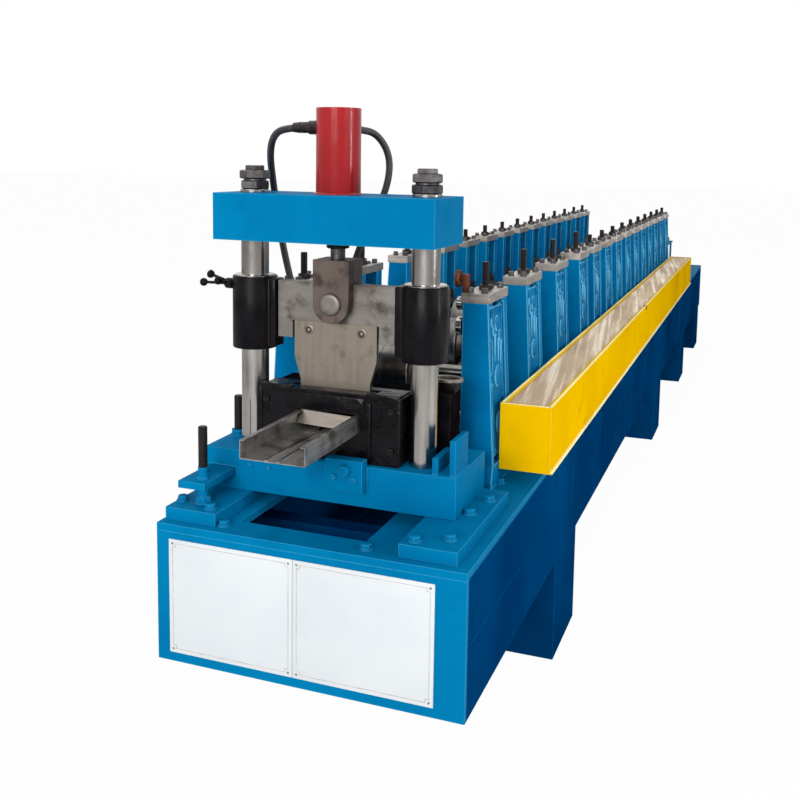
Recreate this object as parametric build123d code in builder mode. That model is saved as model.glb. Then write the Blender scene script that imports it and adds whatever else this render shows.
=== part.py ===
from build123d import *
import os
from math import cos, radians, sin, tan

# Roll forming machine for a steel stud profile, in millimetres.
# X runs across the machine, Y from the cutter end towards the infeed end, Z up from the floor.

# Base frame
BASE_WIDTH = 850
BASE_LENGTH = 7400
LEG_HEIGHT = 345
FRAME_HEIGHT = 372
BED_THICKNESS = 20
BEAM_WEB = 14
BEAM_FLANGE = 110
BEAM_FLANGE_THICKNESS = 18
END_PLATE_THICKNESS = 12
LEG_WIDTH = 220
LEG_LENGTH = 345
LEG_WALL = 12
FRONT_LEG_SETBACK = 1010
BACK_LEG_SETBACKS = (3245, 1555, 105)
CROSS_MEMBER_HEIGHT = 160
CROSS_MEMBER_FLANGE = 65
CROSS_MEMBER_WALL = 10
CROSS_MEMBERS = 9
FIRST_MEMBER_SETBACK = 440
LAST_MEMBER_SETBACK = 280
BED_OPENING = (360, 300)
BED_OPENING_FRONT = 88
ROLL_WINDOW_WIDTH = 380
NAME_PLATE_THICKNESS = 3
NAME_PLATE_HEIGHT = 308
NAME_PLATE_WIDTH = 374
NAME_PLATE_GAP = 1
NAME_PLATE_SHIFT = -28
NAME_PLATE_LIFT = 4

# The pass line, where the strip's underside runs. Everything above the bed is built about it
PASS_X = -48
PASS_HEIGHT = 226
PROFILE_WIDTH = 176
PROFILE_FLANGE = 47
PROFILE_LIP = 13
STRIP = 2
PROFILE_FRONT = -70

# Cutter. A rise is a height above the pass line
POST_SPACING = 504
POST_Y = 297
POST_RADIUS = 38
POST_NECK_RADIUS = 25
BEAM_HEIGHT = 125
BEAM_OVERHANG = 62
BEAM_DEPTH = 232
CUTTER_BASE_HEIGHT = 112
CUTTER_BASE_OVERHANG = 118
CUTTER_BASE_FRONT = 221
CUTTER_BASE_DEPTH = 265
PAD_THICKNESS = 33
PAD_WIDTH = 150
PAD_LENGTH = 460
PAD_FRONT = 30
FIT = 0.05
DIE_POST_GAP = 12
DIE_FRONT = 240
DIE_DEPTH = 90
DIE_RISE = 107
DIE_SILL = 43
BLADE_THICKNESS = 15
BLADE_CLEARANCE = 5
BLADE_RISE = 57
BLADE_HEIGHT = 227
BLADE_WIDTH = 243
BLADE_TIP_WIDTH = 206
BLADE_SHOULDER_DROP = 98
BLADE_TIP_DROP = 161
CARRIER_THICKNESS = 30
CARRIER_POST_GAP = 80
CARRIER_ABOVE_BLADE = 108
CARRIER_EAR_DROP = 48
CARRIER_EAR_WIDTH = 44
SLEEVE_RADIUS = 73
SLEEVE_DROP = 192
SLEEVE_HEIGHT = 200
CLEVIS_WIDTH = 104
CLEVIS_DEPTH = 92
CLEVIS_ABOVE_CARRIER = 65
PIN_RADIUS = 30
PIN_DROP = 53
ROD_RADIUS = 20
ROD_LENGTH = 240
ROD_SHOWN = 48
GLAND_RADIUS = 27
GLAND_HEIGHT = 17
BARREL_RADIUS = 60
BARREL_WALL = 12
BARREL_HEIGHT = 227
BARREL_END = 14
NUT_ACROSS_FLATS = 84
NUT_HEIGHT = 30
NUT_GROOVE = 4
NECK_ABOVE_NUTS = 10
WASHER_RADIUS = 46
WASHER_HEIGHT = 8
HOSE_RADIUS = 10
PORT_DROP = 51

# Roll stations
FIRST_STATION = 690
BASE_MODULE = BASE_LENGTH / 185
EXIT_PITCH = 11.5 * BASE_MODULE
EXIT_PITCHES = 3
PITCH = 8.35 * BASE_MODULE
STATIONS = 14
ROW_INSET = 11
STAND_HEIGHT = 543
STAND_LENGTH = 200
STAND_THICKNESS = 104
STAND_TAPER = 28
STAND_FOOT = 236
FOOT_HEIGHT = 24
WINDOW_WIDTH = 108
WINDOW_BELOW_SHAFT = 77
CAP_THICKNESS = 27
CAP_LENGTH = 208
CAP_OVERHANG = 4
SCREW_RADIUS = 11
SCREW_ABOVE = 84
SHAFT_RADIUS = 21
JOURNAL_RADIUS = 18
WEB_ROLL_RADIUS = 54
UPPER_ROLL_RADIUS = 85
CHOCK_HEIGHT = 104
CHOCK_CLEARANCE = 0.3
CHOCK_SHOWN = 6
RIM_WIDTH = 14

# Chain drive and its guard
GUARD_STAND_GAP = 2
GUARD_WIDTH = 154
GUARD_LIP = 6
GUARD_LIFT = 45
GUARD_HEADROOM = 6
GUARD_OVERHANG_FRONT = 47
GUARD_OVERHANG_BACK = 113
GUARD_WALL = 4
GUARD_RIM = 16
GUARD_INNER_FLANGE = 24
MESH_THICKNESS = 3
SPROCKET_SETBACK = 42
SPROCKET_THICKNESS = 12
SPROCKET_RADIUS = 50
CHAIN_PLATE_HEIGHT = 18
CHAIN_PLATE_THICKNESS = 4

BED_TOP = LEG_HEIGHT + FRAME_HEIGHT
BED_BOTTOM = BED_TOP - BED_THICKNESS
HALF_WIDTH = BASE_WIDTH / 2
PASS_Z = BED_TOP + PASS_HEIGHT
CUTTER_BASE_BOTTOM = BED_TOP + PAD_THICKNESS
CUTTER_TOP = CUTTER_BASE_BOTTOM + CUTTER_BASE_HEIGHT
CUTTER_BASE_LENGTH = POST_SPACING + 2 * CUTTER_BASE_OVERHANG
CUTTER_LEFT = PASS_X - CUTTER_BASE_LENGTH / 2
CUTTER_RIGHT = PASS_X + CUTTER_BASE_LENGTH / 2
DIE_HALF_WIDTH = POST_SPACING / 2 - POST_RADIUS - DIE_POST_GAP
DIE_TOP = PASS_Z + DIE_RISE
BLADE_BOTTOM = PASS_Z + BLADE_RISE
BLADE_TOP = BLADE_BOTTOM + BLADE_HEIGHT
BLADE_FRONT = POST_Y - CARRIER_THICKNESS / 2
CARRIER_HALF_LENGTH = POST_SPACING / 2 - CARRIER_POST_GAP
CARRIER_TOP = BLADE_TOP + CARRIER_ABOVE_BLADE
CARRIER_EAR_BOTTOM = BLADE_TOP - CARRIER_EAR_DROP
SLEEVE_BOTTOM = CARRIER_TOP - SLEEVE_DROP
CLEVIS_TOP = CARRIER_TOP + CLEVIS_ABOVE_CARRIER
PIN_Z = CARRIER_TOP - PIN_DROP
BEAM_BOTTOM = CLEVIS_TOP + ROD_SHOWN
BEAM_TOP = BEAM_BOTTOM + BEAM_HEIGHT
BEAM_LENGTH = POST_SPACING + 2 * BEAM_OVERHANG
POST_TOP = BEAM_TOP + WASHER_HEIGHT + 2 * NUT_HEIGHT + NUT_GROOVE + NECK_ABOVE_NUTS
PORT_Z = BEAM_TOP + BARREL_HEIGHT - PORT_DROP
POST_XS = (PASS_X - POST_SPACING / 2, PASS_X + POST_SPACING / 2)
POST_POINTS = [(x, POST_Y) for x in POST_XS]
STATION_YS = [FIRST_STATION + EXIT_PITCH * n for n in range(EXIT_PITCHES)] + [
    FIRST_STATION + EXIT_PITCH * EXIT_PITCHES + PITCH * n for n in range(STATIONS - EXIT_PITCHES)
]
LOWER_SHAFT_Z = PASS_Z - WEB_ROLL_RADIUS
UPPER_SHAFT_Z = PASS_Z + STRIP + UPPER_ROLL_RADIUS
ROW_OUTER = HALF_WIDTH - abs(PASS_X) - ROW_INSET
STAND_INNER = ROW_OUTER - STAND_THICKNESS
STAND_TOP = BED_TOP + STAND_HEIGHT
WINDOW_BOTTOM = LOWER_SHAFT_Z - WINDOW_BELOW_SHAFT
CAP_TOP = STAND_TOP + CAP_THICKNESS
GUARD_INNER = PASS_X + ROW_OUTER + GUARD_STAND_GAP
GUARD_OUTER = GUARD_INNER + GUARD_WIDTH
GUARD_REACH = GUARD_OUTER + GUARD_LIP
GUARD_BOTTOM = BED_TOP + GUARD_LIFT
GUARD_FRONT = FIRST_STATION - GUARD_OVERHANG_FRONT
GUARD_BACK = STATION_YS[-1] + GUARD_OVERHANG_BACK
CHAIN_TOP = LOWER_SHAFT_Z + SPROCKET_RADIUS + CHAIN_PLATE_HEIGHT / 2
GUARD_TOP = CHAIN_TOP + GUARD_HEADROOM + MESH_THICKNESS + GUARD_WALL
SPROCKET_X = GUARD_INNER + SPROCKET_SETBACK

finished = []


def keep(piece, label):
    """Names a finished piece and lists it for writing."""
    piece.label = label
    finished.append(piece)


# Base frame: two channel beams, closed at both ends by plates and tied by cross channels
with BuildPart() as side_beams:
    with BuildSketch(Plane.XZ.offset(-END_PLATE_THICKNESS)):
        for side in (-1, 1):
            with Locations((side * (HALF_WIDTH - BEAM_FLANGE / 2), (LEG_HEIGHT + BED_BOTTOM) / 2)):
                Rectangle(BEAM_FLANGE, BED_BOTTOM - LEG_HEIGHT)
            with Locations((side * (HALF_WIDTH - (BEAM_FLANGE + BEAM_WEB) / 2), (LEG_HEIGHT + BED_BOTTOM) / 2)):
                Rectangle(
                    BEAM_FLANGE - BEAM_WEB,
                    BED_BOTTOM - LEG_HEIGHT - 2 * BEAM_FLANGE_THICKNESS,
                    mode=Mode.SUBTRACT,
                )
    extrude(amount=-(BASE_LENGTH - 2 * END_PLATE_THICKNESS))
keep(side_beams.part, "side_beams")

last_member = BASE_LENGTH - LAST_MEMBER_SETBACK
member_pitch = (last_member - FIRST_MEMBER_SETBACK) / (CROSS_MEMBERS - 1)
member_ys = [FIRST_MEMBER_SETBACK + member_pitch * n for n in range(CROSS_MEMBERS)]
with BuildPart() as cross_members:
    with BuildSketch(Plane.YZ.offset(BEAM_WEB - HALF_WIDTH)):
        with Locations([(y, (LEG_HEIGHT + BED_BOTTOM) / 2) for y in member_ys]):
            Rectangle(CROSS_MEMBER_FLANGE, CROSS_MEMBER_HEIGHT)
        with Locations([(y + CROSS_MEMBER_WALL, (LEG_HEIGHT + BED_BOTTOM) / 2) for y in member_ys]):
            Rectangle(
                CROSS_MEMBER_FLANGE,
                CROSS_MEMBER_HEIGHT - 2 * CROSS_MEMBER_WALL,
                mode=Mode.SUBTRACT,
            )
    extrude(amount=BASE_WIDTH - 2 * BEAM_WEB)
keep(cross_members.part, "cross_members")

with BuildPart() as end_plates:
    with BuildSketch(Plane.XZ):
        with Locations((0, (LEG_HEIGHT + BED_BOTTOM) / 2)):
            Rectangle(BASE_WIDTH, BED_BOTTOM - LEG_HEIGHT)
    extrude(amount=-END_PLATE_THICKNESS)
    with BuildSketch(Plane.XZ.offset(END_PLATE_THICKNESS - BASE_LENGTH)):
        with Locations((0, (LEG_HEIGHT + BED_BOTTOM) / 2)):
            Rectangle(BASE_WIDTH, BED_BOTTOM - LEG_HEIGHT)
    extrude(amount=-END_PLATE_THICKNESS)
keep(end_plates.part, "end_plates")

# Bed: one plate with the scrap opening in front and a row of windows under the rolls
rolls_end = STATION_YS[-1] + STAND_LENGTH / 2
window_edges = [(near, far) for near, far in zip(member_ys, member_ys[1:]) if far < rolls_end + member_pitch / 2]
with BuildPart() as bed_plate:
    with BuildSketch(Plane.XY.offset(BED_BOTTOM)):
        with Locations((0, BASE_LENGTH / 2)):
            Rectangle(BASE_WIDTH, BASE_LENGTH)
        with Locations((PASS_X, BED_OPENING_FRONT + BED_OPENING[1] / 2)):
            Rectangle(*BED_OPENING, mode=Mode.SUBTRACT)
        for near, far in window_edges:
            near = max(near + CROSS_MEMBER_FLANGE, FIRST_STATION - STAND_LENGTH / 2)
            far = far - CROSS_MEMBER_FLANGE
            with Locations((PASS_X, (near + far) / 2)):
                Rectangle(ROLL_WINDOW_WIDTH, far - near, mode=Mode.SUBTRACT)
    extrude(amount=BED_THICKNESS)
keep(bed_plate.part, "bed_plate")

# Legs: box sections closed on top, flush with the outside of the beams
with BuildPart() as legs:
    leg_ys = [FRONT_LEG_SETBACK + LEG_LENGTH / 2]
    leg_ys += [BASE_LENGTH - setback - LEG_LENGTH / 2 for setback in BACK_LEG_SETBACKS]
    leg_points = [(side * (HALF_WIDTH - LEG_WIDTH / 2), y) for side in (-1, 1) for y in leg_ys]
    with Locations([(x, y, LEG_HEIGHT / 2) for x, y in leg_points]):
        Box(LEG_WIDTH, LEG_LENGTH, LEG_HEIGHT)
    with Locations([(x, y, (LEG_HEIGHT - LEG_WALL) / 2) for x, y in leg_points]):
        Box(
            LEG_WIDTH - 2 * LEG_WALL,
            LEG_LENGTH - 2 * LEG_WALL,
            LEG_HEIGHT - LEG_WALL,
            mode=Mode.SUBTRACT,
        )
keep(legs.part, "legs")

# Two blank plates on the front
with BuildPart() as name_plates:
    with BuildSketch(Plane.XZ):
        plate_z = (LEG_HEIGHT + BED_BOTTOM) / 2 + NAME_PLATE_LIFT
        plate_step = (NAME_PLATE_WIDTH + NAME_PLATE_GAP) / 2
        with Locations([(NAME_PLATE_SHIFT + side * plate_step, plate_z) for side in (-1, 1)]):
            Rectangle(NAME_PLATE_WIDTH, NAME_PLATE_HEIGHT)
    extrude(amount=NAME_PLATE_THICKNESS)
keep(name_plates.part, "name_plates")

# Cutter base on its two pads
RIGHT_PAD_REACH = 68
PAD_XS = (CUTTER_LEFT + PAD_WIDTH / 2, CUTTER_RIGHT + RIGHT_PAD_REACH - PAD_WIDTH / 2)
with BuildPart() as cutter_pads:
    with BuildSketch(Plane.XY.offset(BED_TOP)):
        with Locations([(x, PAD_FRONT + PAD_LENGTH / 2) for x in PAD_XS]):
            Rectangle(PAD_WIDTH, PAD_LENGTH)
    extrude(amount=CUTTER_BASE_BOTTOM - BED_TOP)
keep(cutter_pads.part, "cutter_pads")

STUD_RADIUS = 13
STUD_SIDES = 12
STUD_FRONT = (CUTTER_LEFT + 73, CUTTER_BASE_FRONT - 125)
STUD_BACK = (CUTTER_LEFT + 83, CUTTER_BASE_FRONT + 131)
STUD_FRONT_HEIGHT = 208
STUD_BACK_HEIGHT = 118
STUD_NUT_RADIUS = 24
STUD_NUT_HEIGHT = 18
EAR_LIFT = 38
EAR_HEIGHT = 46
EAR_OVERHANG = 19
EAR_WIDTH = 118
EAR_REACH = 161
LUG_LEFT = 16
LUG_WIDTH = 107
LUG_LIFT = 48
LUG_HEIGHT = 86
LUG_DEPTH = 34
BRACKET_THICKNESS = 16
BRACKET_LENGTH = 110
BRACKET_SETBACK = 10
BRACKETS = ((6, 93), (53, 43))
EAR_BOTTOM = CUTTER_BASE_BOTTOM + EAR_LIFT
EAR_TOP = EAR_BOTTOM + EAR_HEIGHT
with BuildPart() as cutter_base:
    with Locations((PASS_X, CUTTER_BASE_FRONT, CUTTER_BASE_BOTTOM)):
        Box(
            CUTTER_BASE_LENGTH,
            CUTTER_BASE_DEPTH,
            CUTTER_BASE_HEIGHT,
            align=(Align.CENTER, Align.MIN, Align.MIN),
        )
    with Locations((CUTTER_LEFT - EAR_OVERHANG, CUTTER_BASE_FRONT - EAR_REACH, EAR_BOTTOM)):
        Box(EAR_WIDTH, EAR_REACH, EAR_HEIGHT, align=(Align.MIN, Align.MIN, Align.MIN))
    with Locations((PASS_X + LUG_LEFT, CUTTER_BASE_FRONT - LUG_DEPTH, CUTTER_BASE_BOTTOM + LUG_LIFT)):
        Box(LUG_WIDTH, LUG_DEPTH, LUG_HEIGHT, align=(Align.MIN, Align.MIN, Align.MIN))
    for inset, height in BRACKETS:
        with Locations((CUTTER_RIGHT - inset, CUTTER_BASE_FRONT + BRACKET_SETBACK, CUTTER_TOP)):
            Box(BRACKET_THICKNESS, BRACKET_LENGTH, height, align=(Align.MAX, Align.MIN, Align.MIN))
    with BuildSketch(Plane.XY.offset(EAR_BOTTOM)):
        with Locations(STUD_FRONT):
            RegularPolygon(STUD_RADIUS + FIT, STUD_SIDES, major_radius=False)
    extrude(amount=EAR_HEIGHT, mode=Mode.SUBTRACT)
keep(cutter_base.part, "cutter_base")

with BuildPart() as levelling_studs:
    with BuildSketch(Plane.XY.offset(CUTTER_BASE_BOTTOM)):
        with Locations(STUD_FRONT):
            RegularPolygon(STUD_RADIUS, STUD_SIDES, major_radius=False)
    extrude(amount=STUD_FRONT_HEIGHT)
    with BuildSketch(Plane.XY.offset(CUTTER_TOP)):
        with Locations(STUD_BACK):
            RegularPolygon(STUD_RADIUS, STUD_SIDES, major_radius=False)
    extrude(amount=STUD_BACK_HEIGHT)
    with BuildSketch(Plane.XY.offset(CUTTER_BASE_BOTTOM)):
        with Locations(STUD_FRONT):
            RegularPolygon(STUD_NUT_RADIUS, 6)
    extrude(amount=STUD_NUT_HEIGHT)
    with BuildSketch(Plane.XY.offset(EAR_TOP)):
        with Locations(STUD_FRONT):
            RegularPolygon(STUD_NUT_RADIUS, 6)
    extrude(amount=STUD_NUT_HEIGHT)
    with BuildSketch(Plane.XY.offset(CUTTER_TOP)):
        with Locations(STUD_BACK):
            RegularPolygon(STUD_NUT_RADIUS, 6)
    extrude(amount=STUD_NUT_HEIGHT)
keep(levelling_studs.part, "levelling_studs")

# Guide posts, necked to pass through the crossbeam, with a washer and two nuts on each
NECK_SIDES = 12


def neck(radius):
    """Draws the flat-sided outline of a post's neck."""
    return RegularPolygon(radius, NECK_SIDES, major_radius=False)


def neck_hole():
    """Cuts the hole for a post's neck."""
    return RegularPolygon(POST_NECK_RADIUS + FIT, NECK_SIDES, major_radius=False, mode=Mode.SUBTRACT)


with BuildPart() as guide_posts:
    with BuildSketch(Plane.XY.offset(CUTTER_TOP)):
        with Locations(POST_POINTS):
            Circle(POST_RADIUS)
    extrude(amount=BEAM_BOTTOM - CUTTER_TOP)
    with BuildSketch(Plane.XY.offset(BEAM_BOTTOM)):
        with Locations(POST_POINTS):
            neck(POST_NECK_RADIUS)
    extrude(amount=POST_TOP - BEAM_BOTTOM)
keep(guide_posts.part, "guide_posts")

with BuildPart() as top_crossbeam:
    with BuildSketch(Plane.XY.offset(BEAM_BOTTOM)):
        with Locations((PASS_X, POST_Y)):
            Rectangle(BEAM_LENGTH, BEAM_DEPTH)
            Circle(GLAND_RADIUS + FIT, mode=Mode.SUBTRACT)
        with Locations(POST_POINTS):
            neck_hole()
    extrude(amount=BEAM_HEIGHT)
keep(top_crossbeam.part, "top_crossbeam")

WASHER_SIDES = 18
FIRST_NUT_TURN = 12
SECOND_NUT_TURN = 37
with BuildPart() as post_nuts:
    with BuildSketch(Plane.XY.offset(BEAM_TOP)):
        with Locations(POST_POINTS):
            RegularPolygon(WASHER_RADIUS, WASHER_SIDES)
            neck_hole()
    extrude(amount=WASHER_HEIGHT)
    with BuildSketch(Plane.XY.offset(BEAM_TOP + WASHER_HEIGHT)):
        with Locations(POST_POINTS):
            RegularPolygon(NUT_ACROSS_FLATS / 2, 6, major_radius=False, rotation=FIRST_NUT_TURN)
            neck_hole()
    extrude(amount=NUT_HEIGHT)
    with BuildSketch(Plane.XY.offset(BEAM_TOP + WASHER_HEIGHT + NUT_HEIGHT)):
        with Locations(POST_POINTS):
            RegularPolygon(NUT_ACROSS_FLATS / 2 - NUT_GROOVE, NECK_SIDES, major_radius=False)
            neck_hole()
    extrude(amount=NUT_GROOVE)
    with BuildSketch(Plane.XY.offset(BEAM_TOP + WASHER_HEIGHT + NUT_HEIGHT + NUT_GROOVE)):
        with Locations(POST_POINTS):
            RegularPolygon(NUT_ACROSS_FLATS / 2, 6, major_radius=False, rotation=SECOND_NUT_TURN)
            neck_hole()
    extrude(amount=NUT_HEIGHT)
keep(post_nuts.part, "post_nuts")

# Hydraulic cylinder on the crossbeam: its nose passes through the beam and guides the rod
PORT_RADIUS = 16
PORT_REACH = 22
PORT_ROOT = 4
BORE_SIDES = 12
with BuildPart() as cylinder_barrel:
    with BuildSketch(Plane.XY.offset(BEAM_BOTTOM - GLAND_HEIGHT)):
        with Locations((PASS_X, POST_Y)):
            Circle(GLAND_RADIUS)
    extrude(amount=GLAND_HEIGHT + BEAM_HEIGHT)
    with BuildSketch(Plane.XY.offset(BEAM_TOP)):
        with Locations((PASS_X, POST_Y)):
            Circle(BARREL_RADIUS)
    extrude(amount=BARREL_HEIGHT)
    with BuildSketch(Plane.XY.offset(BEAM_TOP + BARREL_END)):
        with Locations((PASS_X, POST_Y)):
            RegularPolygon(BARREL_RADIUS - BARREL_WALL, BORE_SIDES)
    extrude(amount=BARREL_HEIGHT - 2 * BARREL_END, mode=Mode.SUBTRACT)
    with BuildSketch(Plane.XY.offset(BEAM_BOTTOM - GLAND_HEIGHT)):
        with Locations((PASS_X, POST_Y)):
            Circle(ROD_RADIUS + FIT)
    extrude(amount=GLAND_HEIGHT + BEAM_HEIGHT + BARREL_END, mode=Mode.SUBTRACT)
    with BuildSketch(Plane.YZ.offset(PASS_X - BARREL_RADIUS - PORT_REACH)):
        with Locations((POST_Y, PORT_Z)):
            RegularPolygon(PORT_RADIUS, 6)
    extrude(amount=PORT_REACH + PORT_ROOT)
    with BuildSketch(Plane.XZ.offset(-POST_Y - BARREL_RADIUS - PORT_REACH)):
        with Locations((PASS_X, PORT_Z)):
            RegularPolygon(PORT_RADIUS, 6)
    extrude(amount=PORT_REACH + PORT_ROOT)
keep(cylinder_barrel.part, "cylinder_barrel")

# Hoses from the two ports of the cylinder to a manifold on the back of the cutter base
MANIFOLD_SHIFT = -93
MANIFOLD_WIDTH = 190
MANIFOLD_DEPTH = 44
MANIFOLD_HEIGHT = 70
MANIFOLD_SETBACK = 4
LEFT_OUTLET = -158
RIGHT_OUTLET = -46
MANIFOLD_Y = CUTTER_BASE_FRONT + CUTTER_BASE_DEPTH - MANIFOLD_DEPTH / 2 - MANIFOLD_SETBACK
MANIFOLD_TOP = CUTTER_TOP + MANIFOLD_HEIGHT
with BuildPart() as hose_manifold:
    with Locations((PASS_X + MANIFOLD_SHIFT, MANIFOLD_Y, CUTTER_TOP)):
        Box(MANIFOLD_WIDTH, MANIFOLD_DEPTH, MANIFOLD_HEIGHT, align=(Align.CENTER, Align.CENTER, Align.MIN))
keep(hose_manifold.part, "hose_manifold")

# The loop by the port hangs from the port, and the lower stretch stands on the manifold
LEFT_LOOP = (
    (0, 0, 0), (-62, 0, 0), (-122, 21, -14), (-166, 75, -69), (-184, 131, -159), (-184, 159, -259), (-166, 167, -369),
)
LEFT_DROP = ((-56, 5, 323), (-20, 2, 188), (0, 0, 78), (0, 0, 0))
RIGHT_LOOP = (
    (0, 0, 0), (0, 56, 0), (34, 99, -9), (66, 121, -69), (62, 121, -149), (26, 113, -239), (-22, 103, -339),
    (-56, 95, -469),
)
RIGHT_DROP = ((-18, 8, 208), (0, 0, 88), (0, 0, 0))
LEFT_PORT = (PASS_X - BARREL_RADIUS - PORT_REACH, POST_Y, PORT_Z)
RIGHT_PORT = (PASS_X, POST_Y + BARREL_RADIUS + PORT_REACH, PORT_Z)


def route(port, loop, outlet, drop):
    """Joins the loop below a port to the stretch above its outlet on the manifold."""
    foot = (PASS_X + outlet, MANIFOLD_Y, MANIFOLD_TOP)
    upper = [tuple(a + b for a, b in zip(port, step)) for step in loop]
    lower = [tuple(a + b for a, b in zip(foot, step)) for step in drop]
    return upper + lower


HOSE_SIDES = 8


def hose(points):
    """Makes a tube along straight runs joined by arcs as large as the runs allow."""
    corners = [Vector(*point) for point in points]
    runs = [(b - a) for a, b in zip(corners, corners[1:])]
    radii = []
    for before, after in zip(runs, runs[1:]):
        half_turn = radians(before.get_angle(after)) / 2
        radii.append(0.45 * min(before.length, after.length) / tan(half_turn))
    print("hose runs", [round(run.length) for run in runs], "radii", [round(radius) for radius in radii])
    print("hose points", [tuple(round(value) for value in point) for point in points])
    path = FilletPolyline(*corners, radius=radii)
    with BuildPart() as tube:
        with BuildSketch(Plane(origin=corners[0], z_dir=runs[0].normalized())):
            section = RegularPolygon(HOSE_RADIUS, HOSE_SIDES)
        sweep(path=path)
    print("hose volume share", round(tube.part.volume / (path.length * section.area), 4))
    return tube.part


keep(hose(route(LEFT_PORT, LEFT_LOOP, LEFT_OUTLET, LEFT_DROP)), "left_hose")
keep(hose(route(RIGHT_PORT, RIGHT_LOOP, RIGHT_OUTLET, RIGHT_DROP)), "right_hose")

# Die: a sill and two plates with the aperture for the profile, and the slot for the blade
APERTURE_CLEARANCE = 4
SLOT_HALF_WIDTH = BLADE_WIDTH / 2 + 9
with BuildPart() as lower_die:
    with BuildSketch(Plane.YZ.offset(PASS_X - DIE_HALF_WIDTH)):
        with Locations((DIE_FRONT, CUTTER_TOP)):
            Rectangle(DIE_DEPTH, DIE_TOP - CUTTER_TOP, align=(Align.MIN, Align.MIN))
    extrude(amount=2 * DIE_HALF_WIDTH)
    with Locations((PASS_X, BLADE_FRONT - BLADE_CLEARANCE, CUTTER_TOP + DIE_SILL)):
        Box(
            2 * SLOT_HALF_WIDTH,
            BLADE_THICKNESS + 2 * BLADE_CLEARANCE,
            DIE_TOP,
            align=(Align.CENTER, Align.MIN, Align.MIN),
            mode=Mode.SUBTRACT,
        )
    with Locations((PASS_X, DIE_FRONT, PASS_Z)):
        Box(
            PROFILE_WIDTH + 2 * APERTURE_CLEARANCE,
            3 * DIE_DEPTH,
            PROFILE_FLANGE + APERTURE_CLEARANCE,
            align=(Align.CENTER, Align.CENTER, Align.MIN),
            mode=Mode.SUBTRACT,
        )
keep(lower_die.part, "lower_die")

# Guide box behind the die: it holds the profile straight on its way from the last rolls into the cutter
GUIDE_GAP = 15
GUIDE_DEPTH = 85
GUIDE_RISE = 101
GUIDE_RIGHT_INSET = 6
with BuildPart() as exit_guide:
    with Locations((PASS_X - DIE_HALF_WIDTH, DIE_FRONT + DIE_DEPTH + GUIDE_GAP, CUTTER_TOP)):
        Box(
            CUTTER_RIGHT - GUIDE_RIGHT_INSET - PASS_X + DIE_HALF_WIDTH,
            GUIDE_DEPTH,
            PASS_Z + GUIDE_RISE - CUTTER_TOP,
            align=(Align.MIN, Align.MIN, Align.MIN),
        )
    with Locations((PASS_X, DIE_FRONT + DIE_DEPTH + GUIDE_GAP + GUIDE_DEPTH / 2, PASS_Z)):
        Box(
            PROFILE_WIDTH + 2 * APERTURE_CLEARANCE,
            2 * GUIDE_DEPTH,
            PROFILE_FLANGE + APERTURE_CLEARANCE,
            align=(Align.CENTER, Align.CENTER, Align.MIN),
            mode=Mode.SUBTRACT,
        )
keep(exit_guide.part, "exit_guide")

# A short length of the finished profile lying in the die, up to the blade
half_profile = PROFILE_WIDTH / 2
with BuildPart() as formed_profile:
    with BuildSketch(Plane.XZ.offset(-PROFILE_FRONT)):
        with BuildLine():
            Polyline(
                (PASS_X - half_profile, PASS_Z),
                (PASS_X + half_profile, PASS_Z),
                (PASS_X + half_profile, PASS_Z + PROFILE_FLANGE),
                (PASS_X + half_profile - PROFILE_LIP, PASS_Z + PROFILE_FLANGE),
                (PASS_X + half_profile - PROFILE_LIP, PASS_Z + PROFILE_FLANGE - STRIP),
                (PASS_X + half_profile - STRIP, PASS_Z + PROFILE_FLANGE - STRIP),
                (PASS_X + half_profile - STRIP, PASS_Z + STRIP),
                (PASS_X - half_profile + STRIP, PASS_Z + STRIP),
                (PASS_X - half_profile + STRIP, PASS_Z + PROFILE_FLANGE - STRIP),
                (PASS_X - half_profile + PROFILE_LIP, PASS_Z + PROFILE_FLANGE - STRIP),
                (PASS_X - half_profile + PROFILE_LIP, PASS_Z + PROFILE_FLANGE),
                (PASS_X - half_profile, PASS_Z + PROFILE_FLANGE),
                close=True,
            )
        make_face()
    extrude(amount=-(BLADE_FRONT - BLADE_CLEARANCE - PROFILE_FRONT))
keep(formed_profile.part, "formed_profile")

# Cutter carriage: sleeves on the posts, the carrier between them, the blade, the clevis and its rod
BOSS_DEPTH = 52
BOSS_BOTTOM = CARRIER_EAR_BOTTOM
with BuildPart() as guide_sleeves:
    with BuildSketch(Plane.XY.offset(SLEEVE_BOTTOM)):
        with Locations(POST_POINTS):
            Circle(SLEEVE_RADIUS)
    extrude(amount=SLEEVE_HEIGHT)
    for x, side in zip(POST_XS, (1, -1)):
        carrier_end = PASS_X - side * CARRIER_HALF_LENGTH
        with BuildSketch(Plane.XY.offset(BOSS_BOTTOM)):
            with Locations(((x + carrier_end) / 2, POST_Y)):
                Rectangle(abs(carrier_end - x), BOSS_DEPTH)
        extrude(amount=CARRIER_TOP - BOSS_BOTTOM)
    with Locations([(x, y, SLEEVE_BOTTOM + SLEEVE_HEIGHT) for x, y in POST_POINTS]):
        Hole(POST_RADIUS + FIT, SLEEVE_HEIGHT)
keep(guide_sleeves.part, "guide_sleeves")

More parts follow.
